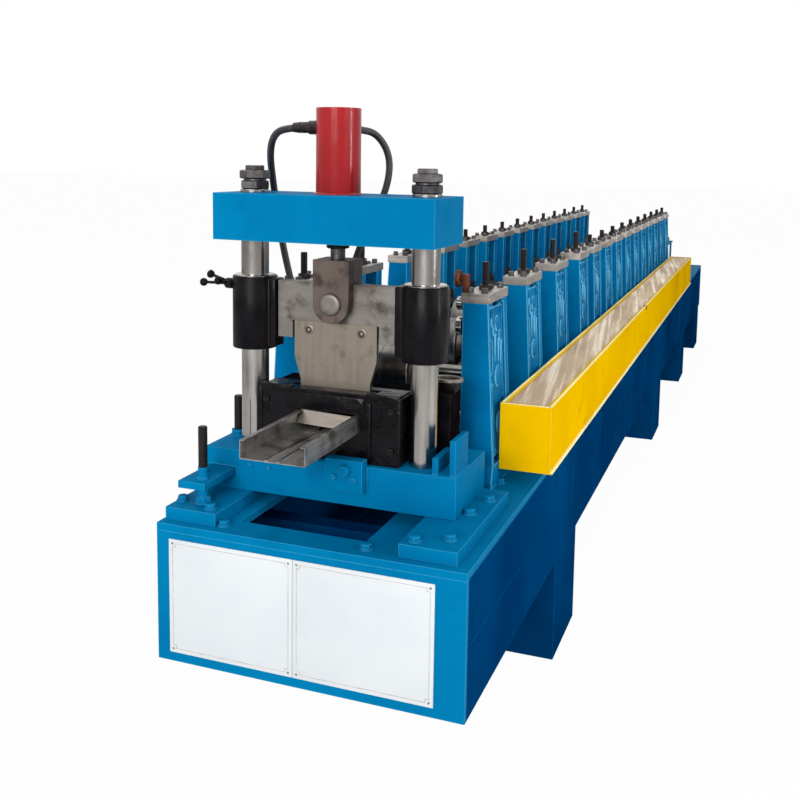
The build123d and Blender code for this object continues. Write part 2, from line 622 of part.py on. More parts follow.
with BuildPart() as blade_carrier:
    with BuildSketch(Plane.XZ.offset(CARRIER_THICKNESS / 2 - BLADE_FRONT - CARRIER_THICKNESS)):
        with Locations((PASS_X, (CARRIER_TOP + CARRIER_EAR_BOTTOM) / 2)):
            Rectangle(2 * CARRIER_HALF_LENGTH, CARRIER_TOP - CARRIER_EAR_BOTTOM)
        with Locations((PASS_X, CARRIER_EAR_BOTTOM)):
            Rectangle(
                2 * (CARRIER_HALF_LENGTH - CARRIER_EAR_WIDTH),
                BLADE_TOP - CARRIER_EAR_BOTTOM,
                align=(Align.CENTER, Align.MIN),
                mode=Mode.SUBTRACT,
            )
        with Locations((PASS_X, PIN_Z)):
            Circle(PIN_RADIUS + FIT, mode=Mode.SUBTRACT)
    extrude(amount=CARRIER_THICKNESS / 2, both=True)
keep(blade_carrier.part, "blade_carrier")

BLADE_HOLE_RADIUS = 9
BLADE_HOLE_SPACING = 156
BLADE_HOLE_DROP = 23
with BuildPart() as cutting_blade:
    with BuildSketch(Plane.XZ.offset(-BLADE_FRONT)):
        with BuildLine():
            Polyline(
                (PASS_X - BLADE_WIDTH / 2, BLADE_TOP),
                (PASS_X + BLADE_WIDTH / 2, BLADE_TOP),
                (PASS_X + BLADE_WIDTH / 2, BLADE_TOP - BLADE_SHOULDER_DROP),
                (PASS_X + BLADE_TIP_WIDTH / 2, BLADE_TOP - BLADE_TIP_DROP),
                (PASS_X + BLADE_TIP_WIDTH / 2, BLADE_BOTTOM),
                (PASS_X - BLADE_TIP_WIDTH / 2, BLADE_BOTTOM),
                (PASS_X - BLADE_TIP_WIDTH / 2, BLADE_TOP - BLADE_TIP_DROP),
                (PASS_X - BLADE_WIDTH / 2, BLADE_TOP - BLADE_SHOULDER_DROP),
                close=True,
            )
        make_face()
        with Locations((PASS_X, BLADE_TOP - BLADE_HOLE_DROP)):
            with GridLocations(BLADE_HOLE_SPACING, 0, 2, 1):
                Circle(BLADE_HOLE_RADIUS, mode=Mode.SUBTRACT)
    extrude(amount=-BLADE_THICKNESS)
keep(cutting_blade.part, "cutting_blade")

CLEVIS_SLOT_GAP = 0.3
CLEVIS_SLOT_HEADROOM = 1
with BuildPart() as rod_clevis:
    with BuildSketch(Plane.XZ.offset(-POST_Y)):
        with Locations((PASS_X, PIN_Z)):
            Circle(CLEVIS_WIDTH / 2)
            Rectangle(CLEVIS_WIDTH, CLEVIS_TOP - PIN_Z, align=(Align.CENTER, Align.MIN))
            Circle(PIN_RADIUS + FIT, mode=Mode.SUBTRACT)
    extrude(amount=CLEVIS_DEPTH / 2, both=True)
    with Locations((PASS_X, POST_Y, CARRIER_TOP + CLEVIS_SLOT_HEADROOM)):
        Box(
            2 * CLEVIS_WIDTH,
            CARRIER_THICKNESS + 2 * CLEVIS_SLOT_GAP,
            CLEVIS_TOP,
            align=(Align.CENTER, Align.CENTER, Align.MAX),
            mode=Mode.SUBTRACT,
        )
keep(rod_clevis.part, "rod_clevis")

PIN_REACH = 6
with BuildPart() as clevis_pin:
    with BuildSketch(Plane.XZ.offset(-POST_Y)):
        with Locations((PASS_X, PIN_Z)):
            Circle(PIN_RADIUS)
    extrude(amount=CLEVIS_DEPTH / 2 + PIN_REACH, both=True)
keep(clevis_pin.part, "clevis_pin")

with BuildPart() as piston_rod:
    with BuildSketch(Plane.XY.offset(CLEVIS_TOP)):
        with Locations((PASS_X, POST_Y)):
            Circle(ROD_RADIUS)
    extrude(amount=ROD_LENGTH)
keep(piston_rod.part, "piston_rod")

# Ball-ended clamp levers on the left sleeve
LEVER_RISE = 172
LEVER_RADIUS = 5
LEVER_SIDES = 6
BALL_RADIUS = 12
BALL_SIDES = 8
BALL_TAPER = 40
LEVER_REACHES = ((-60, -17, 25), (-103, 15, -4))
LEVER_FOOT = (POST_XS[0] - SLEEVE_RADIUS, POST_Y, SLEEVE_BOTTOM + LEVER_RISE)
LEVER_START = 8
LEVER_HUB_LENGTH = 20
LEVER_HUB_RADIUS = 14
with BuildPart() as clamp_levers:
    with BuildSketch(Plane.YZ.offset(LEVER_FOOT[0] - LEVER_HUB_LENGTH)):
        with Locations(LEVER_FOOT[1:]):
            RegularPolygon(LEVER_HUB_RADIUS, LEVER_SIDES)
    extrude(amount=LEVER_HUB_LENGTH)
    for reach in LEVER_REACHES:
        lever_length = Vector(*reach).length
        lever_plane = Plane(origin=LEVER_FOOT, z_dir=Vector(*reach).normalized())
        with BuildSketch(lever_plane.offset(LEVER_START)):
            RegularPolygon(LEVER_RADIUS, LEVER_SIDES)
        extrude(amount=lever_length - LEVER_START)
        with BuildSketch(lever_plane.offset(lever_length)):
            RegularPolygon(BALL_RADIUS, BALL_SIDES)
        extrude(amount=BALL_RADIUS * 0.8, taper=BALL_TAPER)
        with BuildSketch(lever_plane.offset(lever_length)):
            RegularPolygon(BALL_RADIUS, BALL_SIDES)
        extrude(amount=-BALL_RADIUS * 0.8, taper=BALL_TAPER)
keep(clamp_levers.part, "clamp_levers")


def station_points(z):
    """Gives a place on the pass line for every station, at height z."""
    return [(PASS_X, y, z) for y in STATION_YS]


# Roll stands: open-topped castings with a ribbed outer side, a foot and a window for the bearing chocks
FRONT_RIB = 14
BACK_RIB = 32
POCKET_DEPTH = 14
FOOT_SLOPE = 40
CASTING_WEB = STAND_THICKNESS - STAND_TAPER - POCKET_DEPTH
half_length = STAND_LENGTH / 2
half_window = WINDOW_WIDTH / 2
with BuildPart() as stand_casting:
    with BuildSketch(Plane.YZ.offset(STAND_INNER)):
        with BuildLine():
            Polyline(
                (-STAND_FOOT / 2, BED_TOP),
                (STAND_FOOT / 2, BED_TOP),
                (STAND_FOOT / 2, BED_TOP + FOOT_HEIGHT),
                (half_length, BED_TOP + FOOT_HEIGHT + FOOT_SLOPE),
                (half_length, STAND_TOP),
                (half_window, STAND_TOP),
                (half_window, WINDOW_BOTTOM),
                (-half_window, WINDOW_BOTTOM),
                (-half_window, STAND_TOP),
                (-half_length, STAND_TOP),
                (-half_length, BED_TOP + FOOT_HEIGHT + FOOT_SLOPE),
                (-STAND_FOOT / 2, BED_TOP + FOOT_HEIGHT),
                close=True,
            )
        make_face()
    extrude(amount=STAND_THICKNESS)
    with BuildSketch(Plane.XZ.offset(-STAND_FOOT)):
        with BuildLine():
            Polyline(
                (ROW_OUTER, BED_TOP + FOOT_HEIGHT),
                (ROW_OUTER - STAND_TAPER, STAND_TOP),
                (ROW_OUTER, STAND_TOP),
                close=True,
            )
        make_face()
    extrude(amount=2 * STAND_FOOT, mode=Mode.SUBTRACT)
    with BuildSketch(Plane.YZ.offset(STAND_INNER + CASTING_WEB)):
        with Locations((FRONT_RIB - half_length, BED_TOP + FOOT_HEIGHT + FOOT_SLOPE)):
            Rectangle(
                STAND_LENGTH - FRONT_RIB - BACK_RIB,
                STAND_TOP - BED_TOP - FOOT_HEIGHT - FOOT_SLOPE - FRONT_RIB,
                align=(Align.MIN, Align.MIN),
            )
    extrude(amount=STAND_THICKNESS, mode=Mode.SUBTRACT)
left_casting = stand_casting.part.mirror(Plane.YZ)

with BuildPart() as right_stands:
    with Locations(station_points(0)):
        add(stand_casting.part)
keep(right_stands.part, "right_stands")

with BuildPart() as left_stands:
    with Locations(station_points(0)):
        add(left_casting)
keep(left_stands.part, "left_stands")

TOP_THICKNESS = STAND_THICKNESS - STAND_TAPER
TOP_CENTRE = STAND_INNER + TOP_THICKNESS / 2
row_points = [(PASS_X + side * TOP_CENTRE, y) for side in (-1, 1) for y in STATION_YS]
SCREW_SIDES = 6
with BuildPart() as stand_caps:
    with BuildSketch(Plane.XY.offset(STAND_TOP)):
        with Locations(row_points):
            Rectangle(TOP_THICKNESS + 2 * CAP_OVERHANG, CAP_LENGTH)
            RegularPolygon(SCREW_RADIUS + FIT, SCREW_SIDES, major_radius=False, mode=Mode.SUBTRACT)
    extrude(amount=CAP_THICKNESS)
keep(stand_caps.part, "stand_caps")

# Bearing chocks: the lower ones stand on the window's floor, the upper ones hang from the screws
CHOCK_WIDTH = CASTING_WEB + CHOCK_SHOWN
LOWER_CHOCK_BOTTOM = WINDOW_BOTTOM
LOWER_CHOCK_TOP = LOWER_SHAFT_Z + CHOCK_HEIGHT / 2
UPPER_CHOCK_BOTTOM = UPPER_SHAFT_Z - CHOCK_HEIGHT / 2
UPPER_CHOCK_TOP = UPPER_SHAFT_Z + CHOCK_HEIGHT / 2
chock_points = [(PASS_X + side * (STAND_INNER + CHOCK_WIDTH / 2), y) for side in (-1, 1) for y in STATION_YS]


def chocks(bottom, top, shaft_z):
    """Makes the blocks of one level, bored where the exit shaft turns in them."""
    with BuildPart() as blocks:
        with BuildSketch(Plane.XY.offset(bottom)):
            with Locations(chock_points):
                Rectangle(CHOCK_WIDTH, WINDOW_WIDTH - 2 * CHOCK_CLEARANCE)
        extrude(amount=top - bottom)
        with BuildSketch(Plane.YZ.offset(PASS_X - ROW_OUTER)):
            with Locations((FIRST_STATION, shaft_z)):
                Circle(JOURNAL_RADIUS + FIT)
        extrude(amount=2 * ROW_OUTER, mode=Mode.SUBTRACT)
    return blocks.part


keep(chocks(LOWER_CHOCK_BOTTOM, LOWER_CHOCK_TOP, LOWER_SHAFT_Z), "lower_chocks")
keep(chocks(UPPER_CHOCK_BOTTOM, UPPER_CHOCK_TOP, UPPER_SHAFT_Z), "upper_chocks")

# Adjusting screws, from each upper chock up through the cap
with BuildPart() as adjusting_screws:
    with BuildSketch(Plane.XY.offset(UPPER_CHOCK_TOP)):
        with Locations(row_points):
            RegularPolygon(SCREW_RADIUS, SCREW_SIDES, major_radius=False)
    extrude(amount=CAP_TOP + SCREW_ABOVE - UPPER_CHOCK_TOP)
keep(adjusting_screws.part, "adjusting_screws")

# Rolls: the flanges are folded up a little more at each station towards the exit
FULL_ANGLE = 90
WEB_HALF = PROFILE_WIDTH / 2
SHAFT_HALF = STAND_INNER
ROLL_SIDES = 12
THINNEST_FLANK = 0.5
SHAFT_SIDES = 6
ROLL_SIDE_GAP = 1


def bend_angle(station):
    """Gives the flange angle at a station, counted from the exit, in degrees."""
    return FULL_ANGLE * (STATIONS - station) / STATIONS


def slice_of(radius, near, far, end_radius=None):
    """Adds one slice of a roll from x near to far: a barrel, or a cone if its end has another radius."""
    with BuildSketch(Plane.YZ.offset(near)) as near_outline:
        RegularPolygon(radius, ROLL_SIDES)
    with BuildSketch(Plane.YZ.offset(far)) as far_outline:
        RegularPolygon(radius if end_radius is None else end_radius, ROLL_SIDES)
    loft(sections=[near_outline.sketch.face(), far_outline.sketch.face()], ruled=True)


def lower_roll(station, half_shaft):
    """Makes a shaft with its lower roll, whose flanks follow the flange angle."""
    angle = radians(bend_angle(station))
    flank_x = WEB_HALF + PROFILE_FLANGE * cos(angle)
    flank_r = WEB_ROLL_RADIUS + PROFILE_FLANGE * sin(angle)
    with BuildPart() as roll:
        with BuildSketch(Plane.YZ.offset(-half_shaft)):
            RegularPolygon(SHAFT_RADIUS, SHAFT_SIDES)
        extrude(amount=2 * half_shaft)
        slice_of(WEB_ROLL_RADIUS, -WEB_HALF, WEB_HALF)
        for side in (-1, 1):
            if flank_x - WEB_HALF > THINNEST_FLANK:
                slice_of(WEB_ROLL_RADIUS, side * WEB_HALF, side * flank_x, flank_r)
            if station < EXIT_PITCHES:
                slice_of(flank_r, side * flank_x, side * (flank_x + RIM_WIDTH))
    return roll.part


def upper_roll(half_shaft):
    """Makes a shaft with its plain upper roll, which fits between the flanges."""
    half_roll = WEB_HALF - STRIP - ROLL_SIDE_GAP
    with BuildPart() as roll:
        with BuildSketch(Plane.YZ.offset(-half_shaft)):
            RegularPolygon(SHAFT_RADIUS, SHAFT_SIDES)
        extrude(amount=2 * half_shaft)
        slice_of(UPPER_ROLL_RADIUS, -half_roll, half_roll)
    return roll.part


with BuildPart() as lower_rolls:
    for station in range(1, STATIONS):
        with Locations((PASS_X, STATION_YS[station], LOWER_SHAFT_Z)):
            add(lower_roll(station, SHAFT_HALF))
keep(lower_rolls.part, "lower_rolls")

with BuildPart() as upper_rolls:
    with Locations(station_points(UPPER_SHAFT_Z)[1:]):
        add(upper_roll(SHAFT_HALF))
keep(upper_rolls.part, "upper_rolls")


def exit_shaft(roll, shaft_z, label):
    """Puts a roll at the exit station and gives it the journals that turn in the chocks."""
    with BuildPart() as shaft:
        with Locations((PASS_X, FIRST_STATION, shaft_z)):
            add(roll)
        with BuildSketch(Plane.YZ.offset(PASS_X - STAND_INNER - CHOCK_WIDTH)):
            with Locations((FIRST_STATION, shaft_z)):
                Circle(JOURNAL_RADIUS)
        extrude(amount=2 * (STAND_INNER + CHOCK_WIDTH))
    keep(shaft.part, label)


EXIT_SHAFT_SETBACK = 5
EXIT_SHAFT_HALF = SHAFT_HALF - EXIT_SHAFT_SETBACK
exit_shaft(lower_roll(0, EXIT_SHAFT_HALF), LOWER_SHAFT_Z, "exit_lower_roll")
exit_shaft(upper_roll(EXIT_SHAFT_HALF), UPPER_SHAFT_Z, "exit_upper_roll")

# Chain guard: a long sheet steel trough on feet, with a mesh over it
guard_length = GUARD_BACK - GUARD_FRONT
guard_width = GUARD_OUTER - GUARD_INNER
with BuildPart() as chain_guard:
    with BuildSketch(Plane.XY.offset(GUARD_BOTTOM)):
        with Locations((GUARD_INNER, GUARD_FRONT)):
            Rectangle(guard_width, guard_length, align=(Align.MIN, Align.MIN))
        with Locations((GUARD_INNER + GUARD_WALL, GUARD_FRONT + GUARD_WALL)):
            Rectangle(
                guard_width - 2 * GUARD_WALL,
                guard_length - 2 * GUARD_WALL,
                align=(Align.MIN, Align.MIN),
                mode=Mode.SUBTRACT,
            )
    extrude(amount=GUARD_TOP - GUARD_BOTTOM)
    with Locations((GUARD_INNER, GUARD_FRONT + GUARD_WALL, GUARD_BOTTOM)):
        Box(
            GUARD_WALL,
            guard_length - 2 * GUARD_WALL,
            GUARD_TOP - GUARD_BOTTOM - GUARD_INNER_FLANGE,
            align=(Align.MIN, Align.MIN, Align.MIN),
            mode=Mode.SUBTRACT,
        )
    with BuildSketch(Plane.XY.offset(GUARD_TOP - GUARD_WALL)):
        with Locations((GUARD_INNER, GUARD_FRONT)):
            Rectangle(guard_width, guard_length, align=(Align.MIN, Align.MIN))
        with Locations((GUARD_INNER + GUARD_RIM, GUARD_FRONT + GUARD_RIM)):
            Rectangle(
                guard_width - 2 * GUARD_RIM,
                guard_length - 2 * GUARD_RIM,
                align=(Align.MIN, Align.MIN),
                mode=Mode.SUBTRACT,
            )
    extrude(amount=GUARD_WALL)
    with Locations((GUARD_OUTER - GUARD_WALL, GUARD_FRONT, GUARD_BOTTOM)):
        Box(GUARD_WALL + GUARD_LIP, guard_length, GUARD_WALL, align=(Align.MIN, Align.MIN, Align.MIN))
keep(chain_guard.part, "chain_guard")

with BuildPart() as guard_mesh:
    with BuildSketch(Plane.XY.offset(GUARD_TOP - GUARD_WALL - MESH_THICKNESS)):
        with Locations((GUARD_INNER + GUARD_WALL, GUARD_FRONT + GUARD_WALL)):
            Rectangle(
                guard_width - 2 * GUARD_WALL,
                guard_length - 2 * GUARD_WALL,
                align=(Align.MIN, Align.MIN),
            )
    extrude(amount=MESH_THICKNESS)
keep(guard_mesh.part, "guard_mesh")

# Feet of the guard, from the bed up to the trough's lower edges
GUARD_FOOT_LENGTH = 60
GUARD_FOOT_WALL = 8
GUARD_FOOT_SETBACK = 97
FOOT_X = GUARD_INNER + GUARD_FOOT_SETBACK
guard_foot_ys = [(a + b) / 2 for a, b in zip(STATION_YS[0::2], STATION_YS[1::2])]
with BuildPart() as guard_feet:
    with BuildSketch(Plane.XZ):
        with BuildLine():
            Polyline(
                (FOOT_X, BED_TOP),
                (FOOT_X + GUARD_FOOT_WALL, BED_TOP),
                (FOOT_X + GUARD_FOOT_WALL, GUARD_BOTTOM - GUARD_FOOT_WALL),
                (GUARD_OUTER, GUARD_BOTTOM - GUARD_FOOT_WALL),
                (GUARD_OUTER, GUARD_BOTTOM),
                (FOOT_X, GUARD_BOTTOM),
                close=True,
            )
        make_face()
    foot = extrude(amount=GUARD_FOOT_LENGTH / 2, both=True, mode=Mode.PRIVATE)
    with Locations([(0, y, 0) for y in guard_foot_ys]):
        add(foot)
keep(guard_feet.part, "guard_feet")

# Sprockets on the lower shafts, outside the right stands, and one chain over all of them
CHOCK_OUTER = PASS_X + STAND_INNER + CHOCK_WIDTH
HUB_RADIUS = 22
SPROCKET_SIDES = 12
HUB_SIDES = 6
sprocket_points = [(y, LOWER_SHAFT_Z) for y in STATION_YS]
with BuildPart() as drive_sprockets:
    with BuildSketch(Plane.YZ.offset(CHOCK_OUTER)):
        with Locations(sprocket_points[1:]):
            RegularPolygon(HUB_RADIUS, HUB_SIDES)
    extrude(amount=SPROCKET_X + SPROCKET_THICKNESS - CHOCK_OUTER)
    with BuildSketch(Plane.YZ.offset(SPROCKET_X)):
        with Locations(sprocket_points[1:]):
            RegularPolygon(SPROCKET_RADIUS, SPROCKET_SIDES)
    extrude(amount=SPROCKET_THICKNESS)
keep(drive_sprockets.part, "drive_sprockets")

CHAIN_SIDE_CLEARANCE = 0.3
END_STEPS = 8


def chain_loop(radius):
    """Gives the corners of a chain line round the first and the last sprocket."""
    corners = []
    for centre, start_angle in ((STATION_YS[-1], -90), (STATION_YS[1], 90)):
        for step in range(END_STEPS + 1):
            angle = radians(start_angle + 180 * step / END_STEPS)
            corners.append((centre + radius * cos(angle), LOWER_SHAFT_Z + radius * sin(angle)))
    return corners


with BuildPart() as drive_chain:
    for plate_x in (
        SPROCKET_X - CHAIN_SIDE_CLEARANCE - CHAIN_PLATE_THICKNESS,
        SPROCKET_X + SPROCKET_THICKNESS + CHAIN_SIDE_CLEARANCE,
    ):
        with BuildSketch(Plane.YZ.offset(plate_x)):
            with BuildLine():
                Polyline(*chain_loop(SPROCKET_RADIUS + CHAIN_PLATE_HEIGHT / 2), close=True)
            make_face()
            with BuildLine():
                Polyline(*chain_loop(SPROCKET_RADIUS - CHAIN_PLATE_HEIGHT / 2), close=True)
            make_face(mode=Mode.SUBTRACT)
        extrude(amount=CHAIN_PLATE_THICKNESS)
keep(drive_chain.part, "drive_chain")

# Infeed table at the pass line, on two trestles, with side guides
TABLE_GAP = 230
TABLE_SETBACK = 70
TABLE_WIDTH = 420
TABLE_THICKNESS = 12
TRESTLE_WIDTH = 60
TRESTLE_OVERHANG = 125
TABLE_START = STATION_YS[-1] + TABLE_GAP
TABLE_END = BASE_LENGTH - TABLE_SETBACK
first_trestle = TABLE_START + TRESTLE_OVERHANG
last_trestle = TABLE_END - TRESTLE_OVERHANG
TRESTLE_YS = (first_trestle, (first_trestle + last_trestle) / 2, last_trestle)
with BuildPart() as infeed_table:
    with Locations((PASS_X, TABLE_START, PASS_Z - TABLE_THICKNESS)):
        Box(
            TABLE_WIDTH,
            TABLE_END - TABLE_START,
            TABLE_THICKNESS,
            align=(Align.CENTER, Align.MIN, Align.MIN),
        )
    with Locations([(PASS_X, y, BED_TOP) for y in TRESTLE_YS]):
        Box(
            TABLE_WIDTH,
            TRESTLE_WIDTH,
            PASS_Z - TABLE_THICKNESS - BED_TOP,
            align=(Align.CENTER, Align.CENTER, Align.MIN),
        )
    with Locations([(PASS_X, y, BED_TOP) for y in TRESTLE_YS]):
        Box(
            TABLE_WIDTH - 2 * TABLE_THICKNESS,
            2 * TRESTLE_WIDTH,
            PASS_Z - 2 * TABLE_THICKNESS - BED_TOP,
            align=(Align.CENTER, Align.CENTER, Align.MIN),
            mode=Mode.SUBTRACT,
        )
keep(infeed_table.part, "infeed_table")

GUIDE_SIZE = 30
GUIDE_CLEARANCE = 2
STRIP_HALF_WIDTH = PROFILE_WIDTH / 2 + PROFILE_FLANGE + PROFILE_LIP
guide_x = STRIP_HALF_WIDTH + GUIDE_CLEARANCE + GUIDE_SIZE / 2
with BuildPart() as infeed_guides:
    for side in (-1, 1):
        with Locations((PASS_X + side * guide_x, TABLE_START, PASS_Z)):
            Box(GUIDE_SIZE, TABLE_END - TABLE_START, GUIDE_SIZE, align=(Align.CENTER, Align.MIN, Align.MIN))
keep(infeed_guides.part, "infeed_guides")

# Motor and gear reducer, hung under the bed between two cross members near the infeed end
MOTOR_RADIUS = 110
MOTOR_SIDES = 16
MOTOR_LENGTH = 360
MOTOR_DROP = 167
MOTOR_FOOT_WIDTH = 180
MOTOR_FOOT_INSET = 60
MOTOR_GAP = 60
REDUCER_LENGTH = 180
REDUCER_WIDTH = 240
MOTOR_Y = member_ys[-3] + CROSS_MEMBER_FLANGE / 2 + MOTOR_GAP
MOTOR_Z = BED_BOTTOM - MOTOR_DROP
with BuildPart() as drive_motor:
    with BuildSketch(Plane.XZ.offset(-MOTOR_Y)):
        with Locations((PASS_X, MOTOR_Z)):
            RegularPolygon(MOTOR_RADIUS, MOTOR_SIDES)
    extrude(amount=-MOTOR_LENGTH)
    with Locations((PASS_X, MOTOR_Y + MOTOR_FOOT_INSET, BED_BOTTOM)):
        Box(
            MOTOR_FOOT_WIDTH,
            MOTOR_LENGTH - 2 * MOTOR_FOOT_INSET,
            MOTOR_DROP,
            align=(Align.CENTER, Align.MIN, Align.MAX),
        )
keep(drive_motor.part, "drive_motor")

with BuildPart() as gear_reducer:
    with Locations((PASS_X, MOTOR_Y + MOTOR_LENGTH, BED_BOTTOM)):
        Box(REDUCER_WIDTH, REDUCER_LENGTH, 2 * MOTOR_DROP, align=(Align.CENTER, Align.MIN, Align.MAX))
keep(gear_reducer.part, "gear_reducer")

# The origin is on the floor under the middle of the plan, so every piece moves there
plan_box = Compound(children=[piece.moved(Location()) for piece in finished]).bounding_box()
PLAN_CENTRE = ((plan_box.min.X + plan_box.max.X) / 2, (plan_box.min.Y + plan_box.max.Y) / 2)
print("plan centre", PLAN_CENTRE)

os.makedirs("parts", exist_ok=True)
for piece in finished:
    placed = piece.moved(Location((-PLAN_CENTRE[0], -PLAN_CENTRE[1], 0)))
    placed.label = piece.label
    export_step(placed, "parts/" + piece.label + ".step")
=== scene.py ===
import math

import bmesh
import bpy
from mathutils import Matrix, Vector


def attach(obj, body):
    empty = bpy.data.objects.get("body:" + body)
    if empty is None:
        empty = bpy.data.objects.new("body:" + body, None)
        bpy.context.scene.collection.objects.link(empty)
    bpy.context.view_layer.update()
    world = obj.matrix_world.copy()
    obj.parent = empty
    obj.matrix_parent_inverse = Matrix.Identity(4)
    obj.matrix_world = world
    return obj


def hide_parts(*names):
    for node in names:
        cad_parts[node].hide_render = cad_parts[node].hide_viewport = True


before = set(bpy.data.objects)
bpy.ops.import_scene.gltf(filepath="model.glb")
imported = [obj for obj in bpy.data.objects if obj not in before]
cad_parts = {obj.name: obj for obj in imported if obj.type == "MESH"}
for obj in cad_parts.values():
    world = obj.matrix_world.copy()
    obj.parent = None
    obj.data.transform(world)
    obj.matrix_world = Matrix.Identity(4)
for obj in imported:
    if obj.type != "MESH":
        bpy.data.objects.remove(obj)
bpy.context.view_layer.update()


# Camera
# The picture is taken from standing eye level, in front of the cutter and to the guard side.
# The frame cuts off-centre, so the lens is shifted instead of tilted further.
EYE = Vector((1.0494, -5.7305, 1.6703))
YAW, PITCH, ROLL = math.radians(19.903), math.radians(6.479), math.radians(0.933)
FOCAL_LENGTH, SENSOR_WIDTH = 43.68, 36.0
SHIFT_X, SHIFT_Y = -0.02676, -0.1635


def add_object(name, data):
    """Puts a new object into the scene."""
    made = bpy.data.objects.new(name, data)
    bpy.context.collection.objects.link(made)
    return made


lens = bpy.data.cameras.new("eye_level")
lens.lens = FOCAL_LENGTH
lens.sensor_width = SENSOR_WIDTH
lens.shift_x = SHIFT_X
lens.shift_y = SHIFT_Y
camera = add_object("eye_level", lens)
tilt = Matrix.Rotation(math.pi / 2 - PITCH, 4, "X")
turn = Matrix.Rotation(YAW, 4, "Z") @ tilt @ Matrix.Rotation(ROLL, 4, "Z")
camera.matrix_world = Matrix.Translation(EYE) @ turn
bpy.context.scene.camera = camera


# Base frame
# Two channel beams, closed by plates at both ends, carry one bed plate and stand on eight box legs.
# All of it is welded from rolled steel and sprayed with one coat of blue enamel.
def srgb(red, green, blue):
    """Turns a colour as a screen shows it, 0 to 255, into the linear one that a shader takes."""
    def linear(value):
        share = value / 255
        return share / 12.92 if share <= 0.04045 else ((share + 0.055) / 1.055) ** 2.4
    return (linear(red), linear(green), linear(blue), 1.0)


def new_material(name, slot=None):
    """Starts a material for a slot of the record, and gives its tree, shader and object coordinates."""
    material = bpy.data.materials.new(name)
    material["slot"] = slot or name
    material.use_nodes = True
    tree = material.node_tree
    shader = tree.nodes["Principled BSDF"]
    where = tree.nodes.new("ShaderNodeTexCoord").outputs["Object"]
    return material, tree, shader, where


def add_node(tree, kind, inputs, **settings):
    """Adds a node with its settings, and gives each named input its value or another node's output."""
    node = tree.nodes.new(kind)
    for label, value in settings.items():
        setattr(node, label, value)
    for label, value in inputs.items():
        if isinstance(value, bpy.types.NodeSocket):
            tree.links.new(value, node.inputs[label])
        else:
            node.inputs[label].default_value = value
    return node


def noise(tree, where, scale, detail=3.0, stretch=(1, 1, 1), low=0.35, high=0.65):
    """Adds a noise pattern in object coordinates, spread to run from 0 to 1."""
    spot = add_node(tree, "ShaderNodeMapping", {"Vector": where, "Scale": stretch}).outputs["Vector"]
    pattern = add_node(tree, "ShaderNodeTexNoise", {"Vector": spot, "Scale": scale, "Detail": detail})
    levels = {"Value": pattern.outputs["Fac"], "From Min": low, "From Max": high}
    return add_node(tree, "ShaderNodeMapRange", levels).outputs["Result"]


def between(tree, factor, first, second):
    """Mixes two colours by a factor from 0 to 1."""
    inputs = {"Factor": factor, "A": first, "B": second}
    return add_node(tree, "ShaderNodeMix", inputs, data_type="RGBA").outputs["Result"]


def in_range(tree, factor, low, high):
    """Turns a factor from 0 to 1 into a number from low to high."""
    levels = {"Value": factor, "To Min": low, "To Max": high}
    return add_node(tree, "ShaderNodeMapRange", levels).outputs["Result"]


def rounded(tree, radius):
    """Gives the surface direction as if sharp edges had a small radius."""
    return add_node(tree, "ShaderNodeBevel", {"Radius": radius}, samples=4).outputs["Normal"]


def relief(tree, shader, height, strength, distance, edge=0.0):
    """Bumps a surface by a height pattern, and softens its sharp edges by a small radius."""
    bump = add_node(tree, "ShaderNodeBump", {"Height": height, "Strength": strength, "Distance": distance})
    if edge:
        tree.links.new(rounded(tree, edge), bump.inputs["Normal"])
    tree.links.new(bump.outputs["Normal"], shader.inputs["Normal"])


def coat(tree, shader, colour, roughness):
    """Gives a shader its colour and its roughness."""
    tree.links.new(colour, shader.inputs["Base Color"])
    tree.links.new(roughness, shader.inputs["Roughness"])


def edge_share(tree, reach, gain):
    """Gives how near a place is to a sharp edge, from 0 to 1, where paint thins and wears, and where a
    painted highlight lies.
    """
    flat = tree.nodes.new("ShaderNodeNewGeometry").outputs["Normal"]
    normals = {0: rounded(tree, reach), 1: flat}
    alike = add_node(tree, "ShaderNodeVectorMath", normals, operation="DOT_PRODUCT").outputs["Value"]
    terms = {0: alike, 1: -gain, 2: gain}
    return add_node(tree, "ShaderNodeMath", terms, operation="MULTIPLY_ADD", use_clamp=True).outputs[0]


def enamel(
    name, colour, shade, rim, gloss=0.45, peel=0.1, specular=0.008, lumps=160.0, depth=0.0008, pale_spread=0.004,
    bright=2.5,
):
    """Sprayed enamel: clouds of a darker tone, orange peel, and pale edges, partly thin worn paint and partly
    a painted highlight.
    """
    material, tree, shader, where = new_material(name)
    clouds = noise(tree, where, 1.7, 5.0)
    dirt = noise(tree, where, 14.0, 6.0, low=0.52, high=0.85)
    grime = noise(tree, where, 3.1, 8.0, low=0.62, high=0.9)
    base = between(tree, clouds, colour, shade)
    dusty = between(tree, dirt, base, shade)
    dark = tuple(value * 0.45 for value in shade[:3]) + (1.0,)
    stained = between(tree, grime, dusty, dark)
    # Pale rim colour on the edges: partly worn paint, partly a painted highlight.
    worn_and_highlit = between(tree, edge_share(tree, pale_spread, bright), stained, rim)
    coat(tree, shader, worn_and_highlit, in_range(tree, dirt, gloss, gloss + 0.2))
    shader.inputs["Specular IOR Level"].default_value = specular
    relief(tree, shader, noise(tree, where, lumps, 2.0), peel, depth, edge=0.003)
    return material


blue_paint = enamel("blue_paint", srgb(0, 118, 166), srgb(0, 104, 152), srgb(64, 168, 210))
# A darker copy of the blue for the side beams, cross members, legs and seams: painted shade on parts that
# face away from the light.
dark_blue_paint = enamel(
    "dark_blue_paint", srgb(0, 68, 120), srgb(0, 50, 96), srgb(24, 106, 160), specular=0.0
)


def finish_node(material, *names):
    """Gives a finish to whole pieces of the frame."""
    for name in names:
        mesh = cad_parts[name].data
        mesh.materials.clear()
        mesh.materials.append(material)


finish_node(blue_paint, "end_plates", "bed_plate")
finish_node(dark_blue_paint, "side_beams", "cross_members", "legs")


